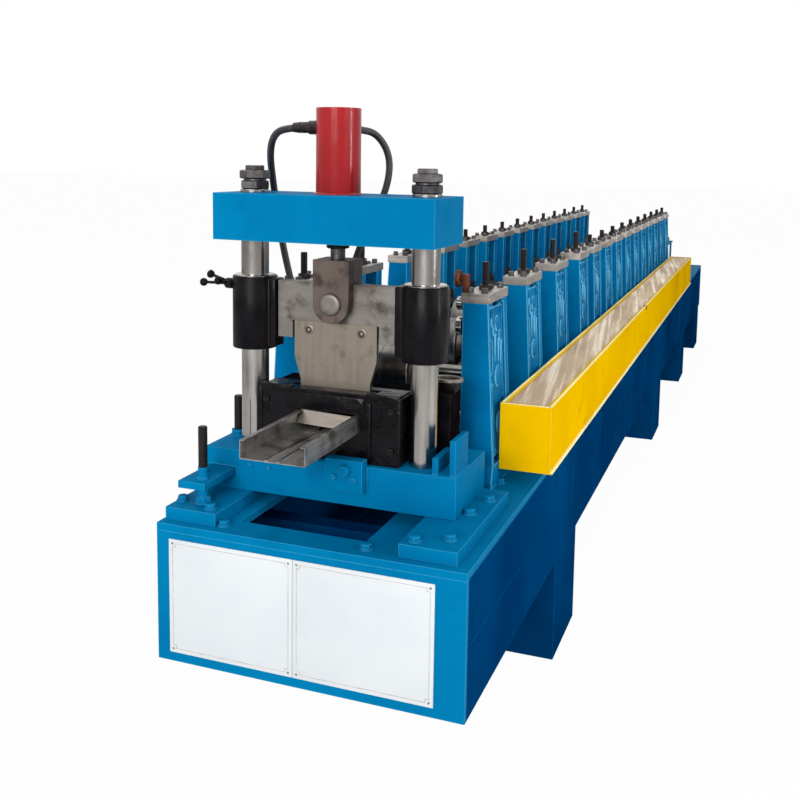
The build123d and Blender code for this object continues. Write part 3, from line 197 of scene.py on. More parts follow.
def place(x, y, z):
    """Turns millimetres from the middle of the front plate's foot into the model's metres."""
    return Vector((x + 3, y - 3665, z)) / 1000


def skin(shape, near, far):
    """Closes the wall between two rings of points."""
    for step in range(len(near)):
        following = (step + 1) % len(near)
        shape.faces.new((near[step], near[following], far[following], far[step]))


def turned(shape, foot, axis, contour, sides=32, twist=0.0, bored=False):
    """Adds a solid turned about an axis from its foot, as distances along it and radii in millimetres."""
    along = Vector(axis).normalized()
    across = along.orthogonal().normalized()
    upright = along.cross(across)
    rings = []
    for distance, radius in contour:
        ring = []
        for step in range(sides):
            angle = twist + math.tau * step / sides
            spoke = (across * math.cos(angle) + upright * math.sin(angle)) * radius
            ring.append(shape.verts.new(place(*foot) + (along * distance + spoke) / 1000))
        rings.append(ring)
    for near, far in zip(rings, rings[1:]):
        skin(shape, near, far)
    if not bored:
        shape.faces.new(rings[0][::-1])
        shape.faces.new(rings[-1])


def block(shape, low, high, edge=1.5):
    """Adds a block between two corners, with all its edges broken."""
    corner = place(*map(min, low, high))
    opposite = place(*map(max, low, high))
    size = opposite - corner
    matrix = Matrix.Translation((corner + opposite) / 2) @ Matrix.Diagonal((*size, 1.0))
    made = bmesh.ops.create_cube(shape, size=1.0, matrix=matrix)["verts"]
    edges = list(dict.fromkeys(side for vertex in made for side in vertex.link_edges))
    bmesh.ops.bevel(shape, geom=edges, offset=edge / 1000, segments=2, profile=0.5, affect="EDGES")


def slab(shape, outline, depth):
    """Adds a plate: an outline of points in millimetres, as thick as the step called depth."""
    near = [shape.verts.new(place(*point)) for point in outline]
    far = [shape.verts.new(place(*point) + Vector(depth) / 1000) for point in outline]
    shape.faces.new(near[::-1])
    shape.faces.new(far)
    skin(shape, near, far)


def hexagon(shape, foot, axis, across, height, twist=0.0):
    """Adds a hexagonal nut or bolt head with its corners chamfered."""
    corner = across / math.sqrt(3)
    chamfer = corner * 0.1
    contour = [(0, corner - chamfer), (chamfer * 0.7, corner), (height - chamfer * 0.7, corner)]
    turned(shape, foot, axis, contour + [(height, corner - chamfer)], 6, twist)


def socket_head(shape, foot, axis, radius, height):
    """Adds a socket-head screw with the hollow for its key."""
    key = radius * 0.5
    head = [(0, radius), (height * 0.8, radius), (height, radius * 0.88)]
    turned(shape, foot, axis, head + [(height, key), (height * 0.45, key * 0.9)], 16)


SHARP_FROM = math.radians(40)


def as_object(name, shape):
    """Turns a shape into an object, smooth but for its sharp edges."""
    mesh = bpy.data.meshes.new(name)
    bmesh.ops.recalc_face_normals(shape, faces=shape.faces)
    shape.to_mesh(mesh)
    shape.free()
    mesh.shade_smooth()
    mesh.set_sharp_from_angle(angle=SHARP_FROM)
    return add_object(name, mesh)


def make_piece(name, shape, finish, *replaced, body="root"):
    """Turns a shape into a finished piece that rides on a body and may stand for nodes of the frame."""
    piece = as_object(name, shape)
    piece.data.materials.append(finish)
    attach(piece, body)
    if replaced:
        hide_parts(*replaced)


HALF_WIDTH, BEAM_FOOT, SEAM_HEIGHT = 425, 350, 1.2
SEAM_Z = 530
SEAM_YS = (1277, 1852, 2553, 3124, 4300, 5300, 6200)
seams = bmesh.new()
for side in (-1, 1):
    inner, outer = side * HALF_WIDTH - SEAM_HEIGHT, side * HALF_WIDTH + SEAM_HEIGHT
    block(seams, (inner, 15, SEAM_Z - 2.5), (outer, 800, SEAM_Z + 2.5), 0.8)
    for seam_y in SEAM_YS:
        block(seams, (inner, seam_y - 3, BEAM_FOOT), (outer, seam_y + 3, 692), 0.8)
    block(seams, (inner, 14, 694), (outer, 7386, 699), 0.8)
make_piece("weld_seams", seams, dark_blue_paint)


# Front plates
# Two thin blank plates of white sheet are screwed to the front of the base, side by side.
# Each has a fine line printed round it, with stepped corners.
PLATE_TOP, PLATE_FOOT = 679, 371
PLATE_SPANS = ((-387, -28.5), (-27.5, 346.5))
LINE_INSET, LINE_STEP, LINE_WIDTH = 11, 9, 1.6
LINE_FRONT, LINE_BACK = -3.4, -2.8


def white_sheet(name):
    """White painted sheet, satin, with faint grey clouds."""
    material, tree, shader, where = new_material(name)
    clouds = noise(tree, where, 5.0, 5.0)
    sheet = between(tree, clouds, srgb(207, 212, 214), srgb(200, 206, 209))
    coat(tree, shader, sheet, in_range(tree, clouds, 0.4, 0.55))
    relief(tree, shader, noise(tree, where, 60.0), 0.05, 0.0005, edge=0.001)
    return material


def line_ink(name):
    """The plates' fine border line, a dull reddish grey."""
    material, tree, shader, where = new_material(name, "white_plate")
    pale_spread = noise(tree, where, 40.0, 4.0)
    ink = between(tree, pale_spread, srgb(170, 150, 148), srgb(200, 190, 188))
    coat(tree, shader, ink, in_range(tree, pale_spread, 0.5, 0.7))
    return material


def steel(
    name, light, dark, rough=(0.3, 0.45), streak_stretch=(1, 1, 1), scale=60.0, strength=0.15, oil=None, slot=None,
    metal=1.0, stains=(0.6, 0.85),
):
    """Bare steel, with streaks along its grain and darker oily clouds; on chrome the streaks are painted
    reflections.
    """
    material, tree, shader, where = new_material(name, slot)
    shader.inputs["Metallic"].default_value = metal
    streaks = noise(tree, where, scale, 4.0, stretch=streak_stretch)
    clouds = noise(tree, where, 7.0, 5.0)
    spots = noise(tree, where, 23.0, 6.0, low=stains[0], high=stains[1])
    tone = between(tree, streaks, light, dark)
    mottled = between(tree, clouds, light, tone)
    coat(tree, shader, between(tree, spots, mottled, oil or dark), in_range(tree, clouds, *rough))
    relief(tree, shader, streaks, strength, 0.0006, edge=0.0015)
    return material


white_plate = white_sheet("white_plate")
ground_steel = steel(
    "ground_steel", srgb(142, 134, 126), srgb(108, 100, 92), rough=(0.35, 0.5), streak_stretch=(0.1, 1, 1),
    scale=80.0, strength=0.1, oil=srgb(84, 74, 66),
)
plates = bmesh.new()
for left, right in PLATE_SPANS:
    block(plates, (left, -3, PLATE_FOOT), (right, 0, PLATE_TOP), 0.5)
make_piece("blank_plates", plates, white_plate, "name_plates")
border = bmesh.new()
screws = bmesh.new()
half = LINE_WIDTH / 2
for left, right in PLATE_SPANS:
    low_x, high_x, low_z, high_z = (
        left + LINE_INSET, right - LINE_INSET, PLATE_FOOT + LINE_INSET, PLATE_TOP - LINE_INSET
    )
    for z in (low_z, high_z):
        block(
            border, (low_x + LINE_STEP, LINE_FRONT, z - half), (high_x - LINE_STEP, LINE_BACK, z + half), 0.1
        )
    for x in (low_x, high_x):
        block(
            border, (x - half, LINE_FRONT, low_z + LINE_STEP), (x + half, LINE_BACK, high_z - LINE_STEP), 0.1
        )
    for x, inward in ((low_x, 1), (high_x, -1)):
        for z, upward in ((low_z, 1), (high_z, -1)):
            step_x = x + inward * LINE_STEP
            step_z = z + upward * LINE_STEP
            block(border, (x, LINE_FRONT, step_z - half), (step_x, LINE_BACK, step_z + half), 0.1)
            block(border, (step_x - half, LINE_FRONT, z), (step_x + half, LINE_BACK, step_z), 0.1)
            turned(screws, (x, -2.9, z), (0, -1, 0), [(0, 3.2), (0.8, 2.9), (1.5, 1.8)], 12)
make_piece("plate_border", border, line_ink("white_plate_line"))
make_piece("plate_screws", screws, ground_steel)


# Cutter frame
# A heavy base block on two pads carries two ground posts, and a crossbeam is held on them by nuts.
# The block and beam are blue castings; black threaded studs in blue nuts level the block.
# Chrome's darker vertical streaks along the posts are painted reflections.
chrome = steel(
    "chrome", srgb(164, 160, 156), srgb(128, 124, 120), rough=(0.14, 0.26), streak_stretch=(1, 1, 0.05), scale=90.0,
    strength=0.05,
)
dark_steel = steel("dark_steel", srgb(60, 55, 54), srgb(32, 29, 30), rough=(0.35, 0.55))
grey_steel = steel("grey_steel", srgb(96, 93, 94), srgb(56, 53, 56), rough=(0.3, 0.5), slot="dark_steel")
red_paint = enamel(
    "red_paint", srgb(160, 28, 32), srgb(136, 22, 28), srgb(196, 80, 78), gloss=0.14, peel=0.02, specular=0.22
)


def black_enamel(name, lumps=0.12, rough=(0.2, 0.42), specular=0.07):
    """Thick gloss black, a little oily, so its shine is uneven, and paler at its edges, partly scratches and
    partly a painted highlight.
    """
    material, tree, shader, where = new_material(name, "black_gloss")
    wet = noise(tree, where, 16.0, 4.0)
    black = between(tree, wet, srgb(9, 8, 11), srgb(20, 17, 20))
    # Pale grey edge colour: partly scratches, partly painted glints.
    worn_and_highlit = between(tree, edge_share(tree, 0.003, 1.6), black, srgb(92, 86, 84))
    coat(tree, shader, worn_and_highlit, in_range(tree, wet, *rough))
    shader.inputs["Specular IOR Level"].default_value = specular
    relief(tree, shader, noise(tree, where, 30.0, 2.0), lumps, 0.002, edge=0.003)
    return material


black_gloss = black_enamel("black_gloss")
oily_black = black_enamel("oily_black", lumps=0.7, rough=(0.1, 0.4), specular=0.1)
matt_black = black_enamel("matt_black", lumps=0.4, rough=(0.55, 0.75), specular=0.0)
finish_node(blue_paint, "cutter_pads", "top_crossbeam")
finish_node(grey_steel, "piston_rod")
finish_node(red_paint, "cylinder_barrel")
finish_node(oily_black, "hose_manifold", "lower_die")


def threaded(shape, foot, length, radius):
    """Adds an upright screw with a real thread, chamfered at its top."""
    pitch, sides, rows_per_turn = 4.0, 12, 3
    rows = round(length / pitch * rows_per_turn)
    rings = []
    for row in range(rows + 1):
        height = length * row / rows
        ring = []
        for step in range(sides):
            phase = (height / pitch - step / sides) % 1.0
            reach = radius - 0.45 * pitch * abs(2 * phase - 1)
            reach = min(reach, radius * (0.8 + (length - height) / radius))
            angle = math.tau * step / sides
            point = (foot[0] + reach * math.cos(angle), foot[1] + reach * math.sin(angle), foot[2] + height)
            ring.append(shape.verts.new(place(*point)))
        rings.append(ring)
    for near, far in zip(rings, rings[1:]):
        skin(shape, near, far)
    shape.faces.new(rings[0][::-1])
    shape.faces.new(rings[-1])


PAD_TOP = 750
CUTTER_TOP = 862
EAR_TOP, EAR_THICKNESS = 814, 20
BASE_FRONT, LUG_FRONT = 221, 187
base_block = bmesh.new()
block(base_block, (-418, BASE_FRONT, PAD_TOP), (322, 486, CUTTER_TOP), 3)
block(base_block, (-400, 60, EAR_TOP - EAR_THICKNESS), (-319, 224, EAR_TOP), 2)
block(base_block, (-32, LUG_FRONT, 798), (75, 224, 884), 2)
block(base_block, (300, 231, CUTTER_TOP - 2), (316, 341, 955), 2)
block(base_block, (253, 231, CUTTER_TOP - 2), (269, 341, 905), 2)
make_piece("base_block", base_block, blue_paint, "cutter_base")
UP = (0, 0, 1)
STUD_RADIUS, STUD_WASHER = 13, 3
FRONT_STUD = (-345, 96)
REAR_STUD = (-388, 352)
studs = bmesh.new()
threaded(studs, (*FRONT_STUD, PAD_TOP), 208, STUD_RADIUS)
threaded(studs, (*REAR_STUD, CUTTER_TOP), 118, STUD_RADIUS)
make_piece("threaded_studs", studs, black_gloss, "levelling_studs")
stud_nuts = bmesh.new()
for spot, z in ((FRONT_STUD, PAD_TOP), (REAR_STUD, CUTTER_TOP)):
    turned(stud_nuts, (*spot, z), UP, [(0, 24), (STUD_WASHER, 24), (STUD_WASHER, 23)], 24)
    hexagon(stud_nuts, (*spot, z + STUD_WASHER), UP, 38, 15, 0.3)
turned(stud_nuts, (*FRONT_STUD, PAD_TOP + 18), UP, [(0, 13.6), (EAR_TOP - 38 - PAD_TOP, 13.6)], 24)
turned(stud_nuts, (*FRONT_STUD, EAR_TOP), UP, [(0, 17), (4, 17), (6, 13.6), (34, 13.6)], 24)
hexagon(stud_nuts, (-375, 150, EAR_TOP), UP, 24, 13, 0.5)
make_piece("stud_nuts", stud_nuts, blue_paint)

BOLT_SPOTS = (
    (-403, 88, 750), (-390, 300, 750), (-300, 60, 750), (272, 60, 750), (350, 100, 750), (362, 400, 750),
    (324, 646, 717), (342, 286, 750), (-250, 45, 717), (150, 45, 717),
)
base_bolts = bmesh.new()
for number, (x, y, z) in enumerate(BOLT_SPOTS):
    turned(base_bolts, (x, y, z), UP, [(0, 17), (2.5, 17), (2.5, 16)], 20)
    hexagon(base_bolts, (x, y, z + 2.5), UP, 24, 12, number)
make_piece("base_bolts", base_bolts, blue_paint)

FORWARD = (0, -1, 0)
lug_screws = bmesh.new()
for x, z, radius, height in ((-6, 836, 9, 5), (52, 834, 9, 7)):
    socket_head(lug_screws, (x, LUG_FRONT, z), FORWARD, radius, height)
for x, z in ((-274, 827), (-216, 824)):
    socket_head(lug_screws, (x, BASE_FRONT, z), FORWARD, 7, 5)
turned(lug_screws, (28, LUG_FRONT, 858), FORWARD, [(0, 15), (14, 15), (17, 13), (18, 6)], 20)
make_piece("lug_screws", lug_screws, blue_paint)

POST_XS = (-300, 204)
POST_Y = 297
POST_RADIUS, POST_END_RADIUS = 38, 27
BEAM_TOP = 1573
SHOULDER = BEAM_TOP - CUTTER_TOP
POST_CONTOUR = [
    (0, POST_RADIUS), (SHOULDER, POST_RADIUS), (SHOULDER, POST_END_RADIUS), (SHOULDER + 60, POST_END_RADIUS),
]
posts = bmesh.new()
washers = bmesh.new()
nuts = bmesh.new()
for number, x in enumerate(POST_XS):
    turned(posts, (x, POST_Y, CUTTER_TOP), UP, POST_CONTOUR, 64)
    turned(washers, (x, POST_Y, BEAM_TOP), UP, [(0, 40), (6.5, 40), (8, 38.5)], 48)
    hexagon(nuts, (x, POST_Y, BEAM_TOP + 8), UP, 72, 24, 0.35 + 0.5 * number)
    turned(nuts, (x, POST_Y, BEAM_TOP + 31), UP, [(0, 31), (6, 31)], 40)
    hexagon(nuts, (x, POST_Y, BEAM_TOP + 36), UP, 72, 24, 0.8 + 0.5 * number)
    hexagon(nuts, (x, POST_Y, BEAM_TOP + 59), UP, 50, 14, 0.2)
make_piece("ground_posts", posts, chrome, "guide_posts")
make_piece("post_washers", washers, chrome)
make_piece("post_hex_nuts", nuts, grey_steel, "post_nuts")

ROD_X = -48
gland = bmesh.new()
turned(gland, (ROD_X, POST_Y, 1429), UP, [(0, 27), (2, 31), (16, 31), (18.6, 33)], 40)
make_piece("gland_ring", gland, black_gloss)
rim = bmesh.new()
turned(rim, (ROD_X, POST_Y, BEAM_TOP + 0.2), UP, [(0, 66), (3, 65), (6, 60.4)], 64)
make_piece("barrel_weld", rim, red_paint)


# Hoses
# Two rubber pressure hoses run from the cylinder's ports to the manifold behind the cutter base.
# They are smooth black rubber with crimped fittings, and bend under their own weight.
HOSE_DIAMETER = 0.020
LEFT_HOSE = [
    (-130, 297, 1749), (-192, 297, 1749), (-252, 318, 1735), (-296, 372, 1680), (-314, 428, 1590),
    (-314, 456, 1490), (-296, 464, 1380), (-262, 465, 1255), (-226, 462, 1120), (-206, 460, 1010),
    (-206, 460, 932),
]
RIGHT_HOSE = [
    (-48, 379, 1749), (-48, 435, 1749), (-14, 478, 1740), (18, 500, 1680), (14, 500, 1600),
    (-22, 492, 1510), (-70, 482, 1410), (-104, 474, 1280), (-112, 468, 1140), (-94, 460, 1020),
    (-94, 460, 932),
]


def rubber(name):
    """Black hose rubber: matt, slightly dusty, with a fine cloth print."""
    material, tree, shader, where = new_material(name)
    dust = noise(tree, where, 9.0, 4.0)
    black = between(tree, dust, srgb(22, 22, 26), srgb(48, 48, 54))
    coat(tree, shader, black, in_range(tree, dust, 0.38, 0.6))
    relief(tree, shader, noise(tree, where, 420.0), 0.15, 0.0006)
    return material


hose_rubber = rubber("hose_rubber")


def make_hose(name, points, replaced):
    """Lays one hose along its route and hides the part it stands for."""
    curve = bpy.data.curves.new(name, "CURVE")
    curve.dimensions = "3D"
    curve.bevel_depth = HOSE_DIAMETER / 2
    curve.bevel_resolution = 5
    curve.resolution_u = 12
    curve.use_fill_caps = True
    line = curve.splines.new("NURBS")
    line.points.add(len(points) - 1)
    for point, corner in zip(line.points, points):
        point.co = (*place(*corner), 1.0)
    line.order_u = 3
    line.use_endpoint_u = True
    hose = add_object(name, curve)
    curve.materials.append(hose_rubber)
    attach(hose, "root")
    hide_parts(replaced)


make_hose("left_pressure_hose", LEFT_HOSE, "left_hose")
make_hose("right_pressure_hose", RIGHT_HOSE, "right_hose")
PORT_Z = 1749
LEFTWARD, BACKWARD = (-1, 0, 0), (0, 1, 0)
FERRULE = [(0, 13), (2, 15), (26, 15), (28, 13.5), (30, 15), (50, 13)]
PORT_SLEEVE = [(0, 20), (8, 20), (10, 18.5), (26, 18.5)]
fittings = bmesh.new()
turned(fittings, LEFT_HOSE[0], LEFTWARD, FERRULE, 24)
turned(fittings, RIGHT_HOSE[0], BACKWARD, FERRULE, 24)
turned(fittings, LEFT_HOSE[-1], UP, FERRULE, 24)
turned(fittings, RIGHT_HOSE[-1], UP, FERRULE, 24)
turned(fittings, (-106, POST_Y, PORT_Z), LEFTWARD, PORT_SLEEVE, 24)
turned(fittings, (ROD_X, 355, PORT_Z), BACKWARD, PORT_SLEEVE, 24)
make_piece("hose_fittings", fittings, dark_steel)


# Die, guide and profile
# The die is two oily black blocks with the profile's aperture; a guide box with a ring stands behind it.
# The stud profile lies in it, rolled from galvanised strip, with two ribs along its web.
# Two bright collars and a rusty disc sit on the inner face of the first stand.
DIE_FRONT = 240
galvanised = steel(
    "galvanised", srgb(168, 166, 163), srgb(98, 97, 96), rough=(0.3, 0.5), streak_stretch=(1, 0.05, 1),
    strength=0.2, oil=srgb(88, 84, 80), metal=0.8, stains=(0.48, 0.7),
)
finish_node(galvanised, "formed_profile")
ribs = bmesh.new()
for x in (-66, -34):
    contour = ((x - 7, -69, 943.5), (x - 3, -69, 947.5), (x + 3, -69, 947.5), (x + 7, -69, 943.5))
    slab(ribs, contour, (0, 346, 0))
make_piece("profile_ribs", ribs, chrome)
tongue = bmesh.new()
slab(tongue, ((-134, 226, 958), (32, 226, 951), (18, 244, 986), (-128, 244, 992)), (0, 6, -3))
make_piece("die_tongue", tongue, ground_steel)
die_details = bmesh.new()
for x in (-232, 134):
    for z in (905, 1012):
        socket_head(die_details, (x, DIE_FRONT, z), FORWARD, 9, 7)
for low, high, edge in (
    ((-252, 236, 1038), (-156, 262, 1056), 4), ((62, 236, 1036), (158, 262, 1055), 4),
    ((-150, 234, 1000), (58, 242, 1040), 3), ((66, 232, 880), (78, 241, 1030), 3),
    ((-258, 236, 866), (-246, 300, 1046), 4), ((150, 236, 866), (160, 320, 1046), 4),
):
    block(die_details, low, high, edge)
make_piece("die_bolts", die_details, oily_black)
RING_X, RING_Y, RING_Z = 232, 411, 1069
RING_REACH_X, RING_REACH_Y = 44, 32
RING_PARTS, RING_BORE, RING_HEIGHT = 32, 0.78, 8
ring = bmesh.new()
for part in range(RING_PARTS):
    corners = []
    for angle in (math.tau * part / RING_PARTS, math.tau * (part + 1) / RING_PARTS):
        for share, lift in ((1.0, 0), (RING_BORE, 0), (RING_BORE, RING_HEIGHT), (1.0, RING_HEIGHT)):
            x = RING_X + RING_REACH_X * share * math.cos(angle)
            y = RING_Y + RING_REACH_Y * share * math.sin(angle)
            corners.append(ring.verts.new(place(x, y, RING_Z + lift)))
    skin(ring, corners[:4], corners[4:])
bmesh.ops.remove_doubles(ring, verts=ring.verts, dist=0.00001)
make_piece("guide_ring", ring, ground_steel)
guide_box = bmesh.new()
GUIDE_NEAR, GUIDE_FAR, GUIDE_TOP = 345, 430, 1044
for left, right, foot, top in (
    (-250, -122, CUTTER_TOP, GUIDE_TOP), (26, 262, CUTTER_TOP, GUIDE_TOP),
    (-124, 28, CUTTER_TOP, 940), (-124, 28, 1000, GUIDE_TOP),
):
    block(guide_box, (left, GUIDE_NEAR, foot), (right, GUIDE_FAR, top), 1)
make_piece("guide_box", guide_box, matt_black, "exit_guide")
ring_seat = bmesh.new()
block(ring_seat, (206, 382, 1042), (262, 436, 1070), 3)
make_piece("ring_seat", ring_seat, black_gloss)
collars = bmesh.new()
for z, radius in ((1253, 20), (1187, 27)):
    contour = [(0, 9), (6, 9), (6, radius - 3), (9, radius), (24, radius), (27, radius - 4)]
    turned(collars, (216, 618, z), LEFTWARD, contour, 32)
make_piece("bright_collars", collars, chrome)
rusty = steel(
    "rusty_steel", srgb(120, 70, 52), srgb(74, 48, 42), rough=(0.5, 0.7), scale=30.0, strength=0.3,
    slot="brown_steel",
)
disc = bmesh.new()
block(disc, (206, 604, 1286), (224, 626, 1340), 2)
turned(disc, (208, 614, 1326), LEFTWARD, [(0, 8), (8, 8), (8, 22), (11, 25), (20, 25), (23, 21)], 32)
make_piece("disc_handle", disc, rusty)


# Carriage
# Two black sleeves slide on the posts and hold a thick bare plate, with the blade bolted under it.
# The cylinder's rod pulls the plate through a clevis and pin; two ball levers clamp the left sleeve.
CARRIAGE = "carriage"
BLADE_TOP = 1227
brown_steel = steel(
    "brown_steel", srgb(92, 80, 74), srgb(64, 54, 50), rough=(0.4, 0.6), streak_stretch=(1, 1, 0.4), scale=25.0,
    strength=0.1, oil=srgb(52, 43, 39), metal=0.6, stains=(0.48, 0.66),
)
blade_steel = steel(
    "blade_steel", srgb(126, 118, 108), srgb(100, 92, 84), rough=(0.4, 0.55), streak_stretch=(1, 1, 0.06),
    scale=70.0, strength=0.06, oil=srgb(86, 77, 68), slot="ground_steel", metal=0.8,
)
carrier_steel = steel(
    "carrier_steel", srgb(122, 117, 112), srgb(90, 84, 79), rough=(0.35, 0.6), streak_stretch=(0.3, 1, 1),
    scale=24.0, strength=0.12, oil=srgb(72, 65, 60), slot="ground_steel", metal=0.8, stains=(0.5, 0.68),
)
SLEEVE_BORE, SLEEVE_RADIUS, SLEEVE_FOOT = 39, 62, 1143
WALL = [(0, SLEEVE_BORE), (0, 61), (2, SLEEVE_RADIUS), (197, SLEEVE_RADIUS), (200, 60), (200, SLEEVE_BORE)]
sleeves = bmesh.new()
for x, inward in ((POST_XS[0], 1), (POST_XS[1], -1)):
    turned(sleeves, (x, POST_Y, SLEEVE_FOOT), UP, WALL + WALL[:1], 48, bored=True)
    block(sleeves, (x + 50 * inward, 270, 1150), (x + 76 * inward, 324, 1338), 3)
block(sleeves, (244, 268, 1148), (264, 326, 1336), 4)
bmesh.ops.remove_doubles(sleeves, verts=sleeves.verts, dist=0.00001)
make_piece("bored_sleeves", sleeves, black_gloss, "guide_sleeves", body=CARRIAGE)
finish_node(blade_steel, "cutting_blade")
finish_node(carrier_steel, "blade_carrier")
finish_node(brown_steel, "rod_clevis", "clevis_pin")
sleeve_rings = bmesh.new()
for x in POST_XS:
    turned(sleeve_rings, (x, POST_Y, 1342.5), UP, [(0, 56), (2.5, 56), (4, 54), (4, SLEEVE_BORE)], 48)
make_piece("sleeve_rings", sleeve_rings, chrome, body=CARRIAGE)
BLADE_BOLT_XS, BLADE_BOLT_Z = (-126, 30), BLADE_TOP - 23
blade_bolts = bmesh.new()
bolt_rims = bmesh.new()
for x in BLADE_BOLT_XS:
    socket_head(blade_bolts, (x, 286, BLADE_BOLT_Z), FORWARD, 10, 6)
    turned(bolt_rims, (x, 283, BLADE_BOLT_Z), FORWARD, [(0, 13.5), (2, 13.5), (2.6, 12.5)], 24)
make_piece("blade_bolts", blade_bolts, dark_steel, body=CARRIAGE)
make_piece("bolt_rims", bolt_rims, blade_steel, body=CARRIAGE)
pin_face = bmesh.new()
turned(pin_face, (ROD_X, 246, 1282), FORWARD, [(0, 30), (2, 29), (4, 26), (5, 20), (4, 8)], 40)
make_piece("pin_face", pin_face, carrier_steel, body=CARRIAGE)
levers = bmesh.new()
LEVER_X, LEVER_Z = -373, 1315
turned(levers, (LEVER_X + 4, POST_Y, LEVER_Z), LEFTWARD, [(0, 15), (20, 15), (24, 12)], 24)
for reach in ((-60, -17, 25), (-103, 15, -4), (-26, -34, 10)):
    length = Vector(reach).length
    neck = [(6, 5), (length - 9, 4)]
    ball = [(length - 10, 7), (length - 6, 10.5), (length, 12), (length + 5, 10.5), (length + 8.8, 5)]
    turned(levers, (LEVER_X, POST_Y, LEVER_Z), reach, neck + ball, 20)
make_piece("ball_levers", levers, black_gloss, "clamp_levers", body=CARRIAGE)


# Roll stands
# Fourteen pairs of blue castings, with ribs along their edges and a cover over each bearing window.
# Ground caps close their tops, held by bolts, and a black screw in each sets the upper roll's height.
STATIONS, WIDE_PITCHES, WIDE_PITCH, NEXT_PITCH = 14, 3, 0.460, 0.334
FIRST_Y = 690
ROW_XS = (252, -348)
CAP_TOP = 1287


def math_node(tree, operation, first, second):
    """Adds one sum to a tree of nodes."""
    return add_node(tree, "ShaderNodeMath", {0: first, 1: second}, operation=operation).outputs[0]


def new_tree(name, **kinds):
    """Starts a tree of geometry nodes with named inputs."""
    tree = bpy.data.node_groups.new(name, "GeometryNodeTree")
    for label, kind in kinds.items():
        shown = label.replace("_", " ")
        tree.interface.new_socket(name=shown, in_out="INPUT", socket_type="NodeSocket" + kind)
    tree.interface.new_socket(name="Geometry", in_out="OUTPUT", socket_type="NodeSocketGeometry")
    return tree, tree.nodes.new("NodeGroupInput").outputs


def end_tree(tree, instances, finish):
    """Ends a tree: real geometry with its material."""
    real = add_node(tree, "GeometryNodeRealizeInstances", {"Geometry": instances}).outputs[0]
    painted = add_node(tree, "GeometryNodeSetMaterial", {"Geometry": real, "Material": finish}).outputs[0]
    add_node(tree, "NodeGroupOutput", {"Geometry": painted})


def along_stations():
    """Repeats a shape made for one station at each station along the machine."""
    tree, given = new_tree(
        "along_stations", Geometry="Geometry", First="Int", Count="Int", Wide_Pitches="Int",
        Wide_Pitch="Float", Pitch="Float", Finish="Material",
    )
    points = add_node(tree, "GeometryNodePoints", {"Count": given["Count"]}).outputs[0]
    index = tree.nodes.new("GeometryNodeInputIndex").outputs[0]
    station = math_node(tree, "ADD", index, given["First"])
    wide = math_node(tree, "MINIMUM", station, given["Wide Pitches"])
    rest = math_node(tree, "SUBTRACT", station, wide)
    way = math_node(
        tree, "ADD", math_node(tree, "MULTIPLY", wide, given["Wide Pitch"]),
        math_node(tree, "MULTIPLY", rest, given["Pitch"]),
    )
    step = add_node(tree, "ShaderNodeCombineXYZ", {"Y": way}).outputs[0]
    moved = add_node(tree, "GeometryNodeSetPosition", {"Geometry": points, "Position": step}).outputs[0]
    placed = {"Points": moved, "Instance": given["Geometry"]}
    instances = add_node(tree, "GeometryNodeInstanceOnPoints", placed).outputs[0]
    end_tree(tree, instances, given["Finish"])
    return tree


def set_tree(piece, tree, **values):
    """Runs a tree on a piece with the given inputs, and keeps the result as a plain mesh."""
    modifier = piece.modifiers.new(tree.name, "NODES")
    modifier.node_group = tree
    for item in tree.interface.items_tree:
        if item.in_out == "INPUT" and item.name.replace(" ", "_") in values:
            modifier[item.identifier] = values[item.name.replace(" ", "_")]
    seen = piece.evaluated_get(bpy.context.evaluated_depsgraph_get())
    mesh = bpy.data.meshes.new_from_object(seen)
    piece.modifiers.clear()
    piece.data = mesh


station_tree = along_stations()


def repeat_piece(name, shape, finish, *replaced, first=0, count=STATIONS):
    """Makes a piece for one station and repeats it along the machine."""
    piece = as_object(name, shape)
    set_tree(
        piece, station_tree, First=first, Count=count, Wide_Pitches=WIDE_PITCHES, Wide_Pitch=WIDE_PITCH,
        Pitch=NEXT_PITCH, Finish=finish,
    )
    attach(piece, "root")
    if replaced:
        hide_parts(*replaced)


# Stands and bearing covers get a strong pale cyan edge colour: partly worn paint, partly a painted highlight.
cast_paint = enamel(
    "cast_paint", srgb(0, 116, 168), srgb(0, 92, 146), srgb(128, 216, 246), gloss=0.5, peel=0.5,
    specular=0.02, lumps=55.0, depth=0.004, pale_spread=0.008, bright=5.5,
)
cast_paint["slot"] = "blue_paint"
cap_steel = steel(
    "cap_steel", srgb(176, 170, 163), srgb(126, 119, 113), rough=(0.35, 0.5), streak_stretch=(0.1, 1, 1),
    scale=80.0, strength=0.1, oil=srgb(92, 84, 78), slot="ground_steel",
)
stand_paint = enamel(
    "stand_paint", srgb(0, 124, 180), srgb(0, 104, 162), srgb(116, 212, 244), peel=0.12,
    specular=0.01, lumps=90.0, depth=0.001, pale_spread=0.006, bright=5.0,
)
stand_paint["slot"] = "blue_paint"
finish_node(stand_paint, "right_stands", "left_stands")
finish_node(cap_steel, "stand_caps")
finish_node(dark_steel, "lower_chocks", "upper_chocks")
nuts = bmesh.new()
cap_bolts = bmesh.new()
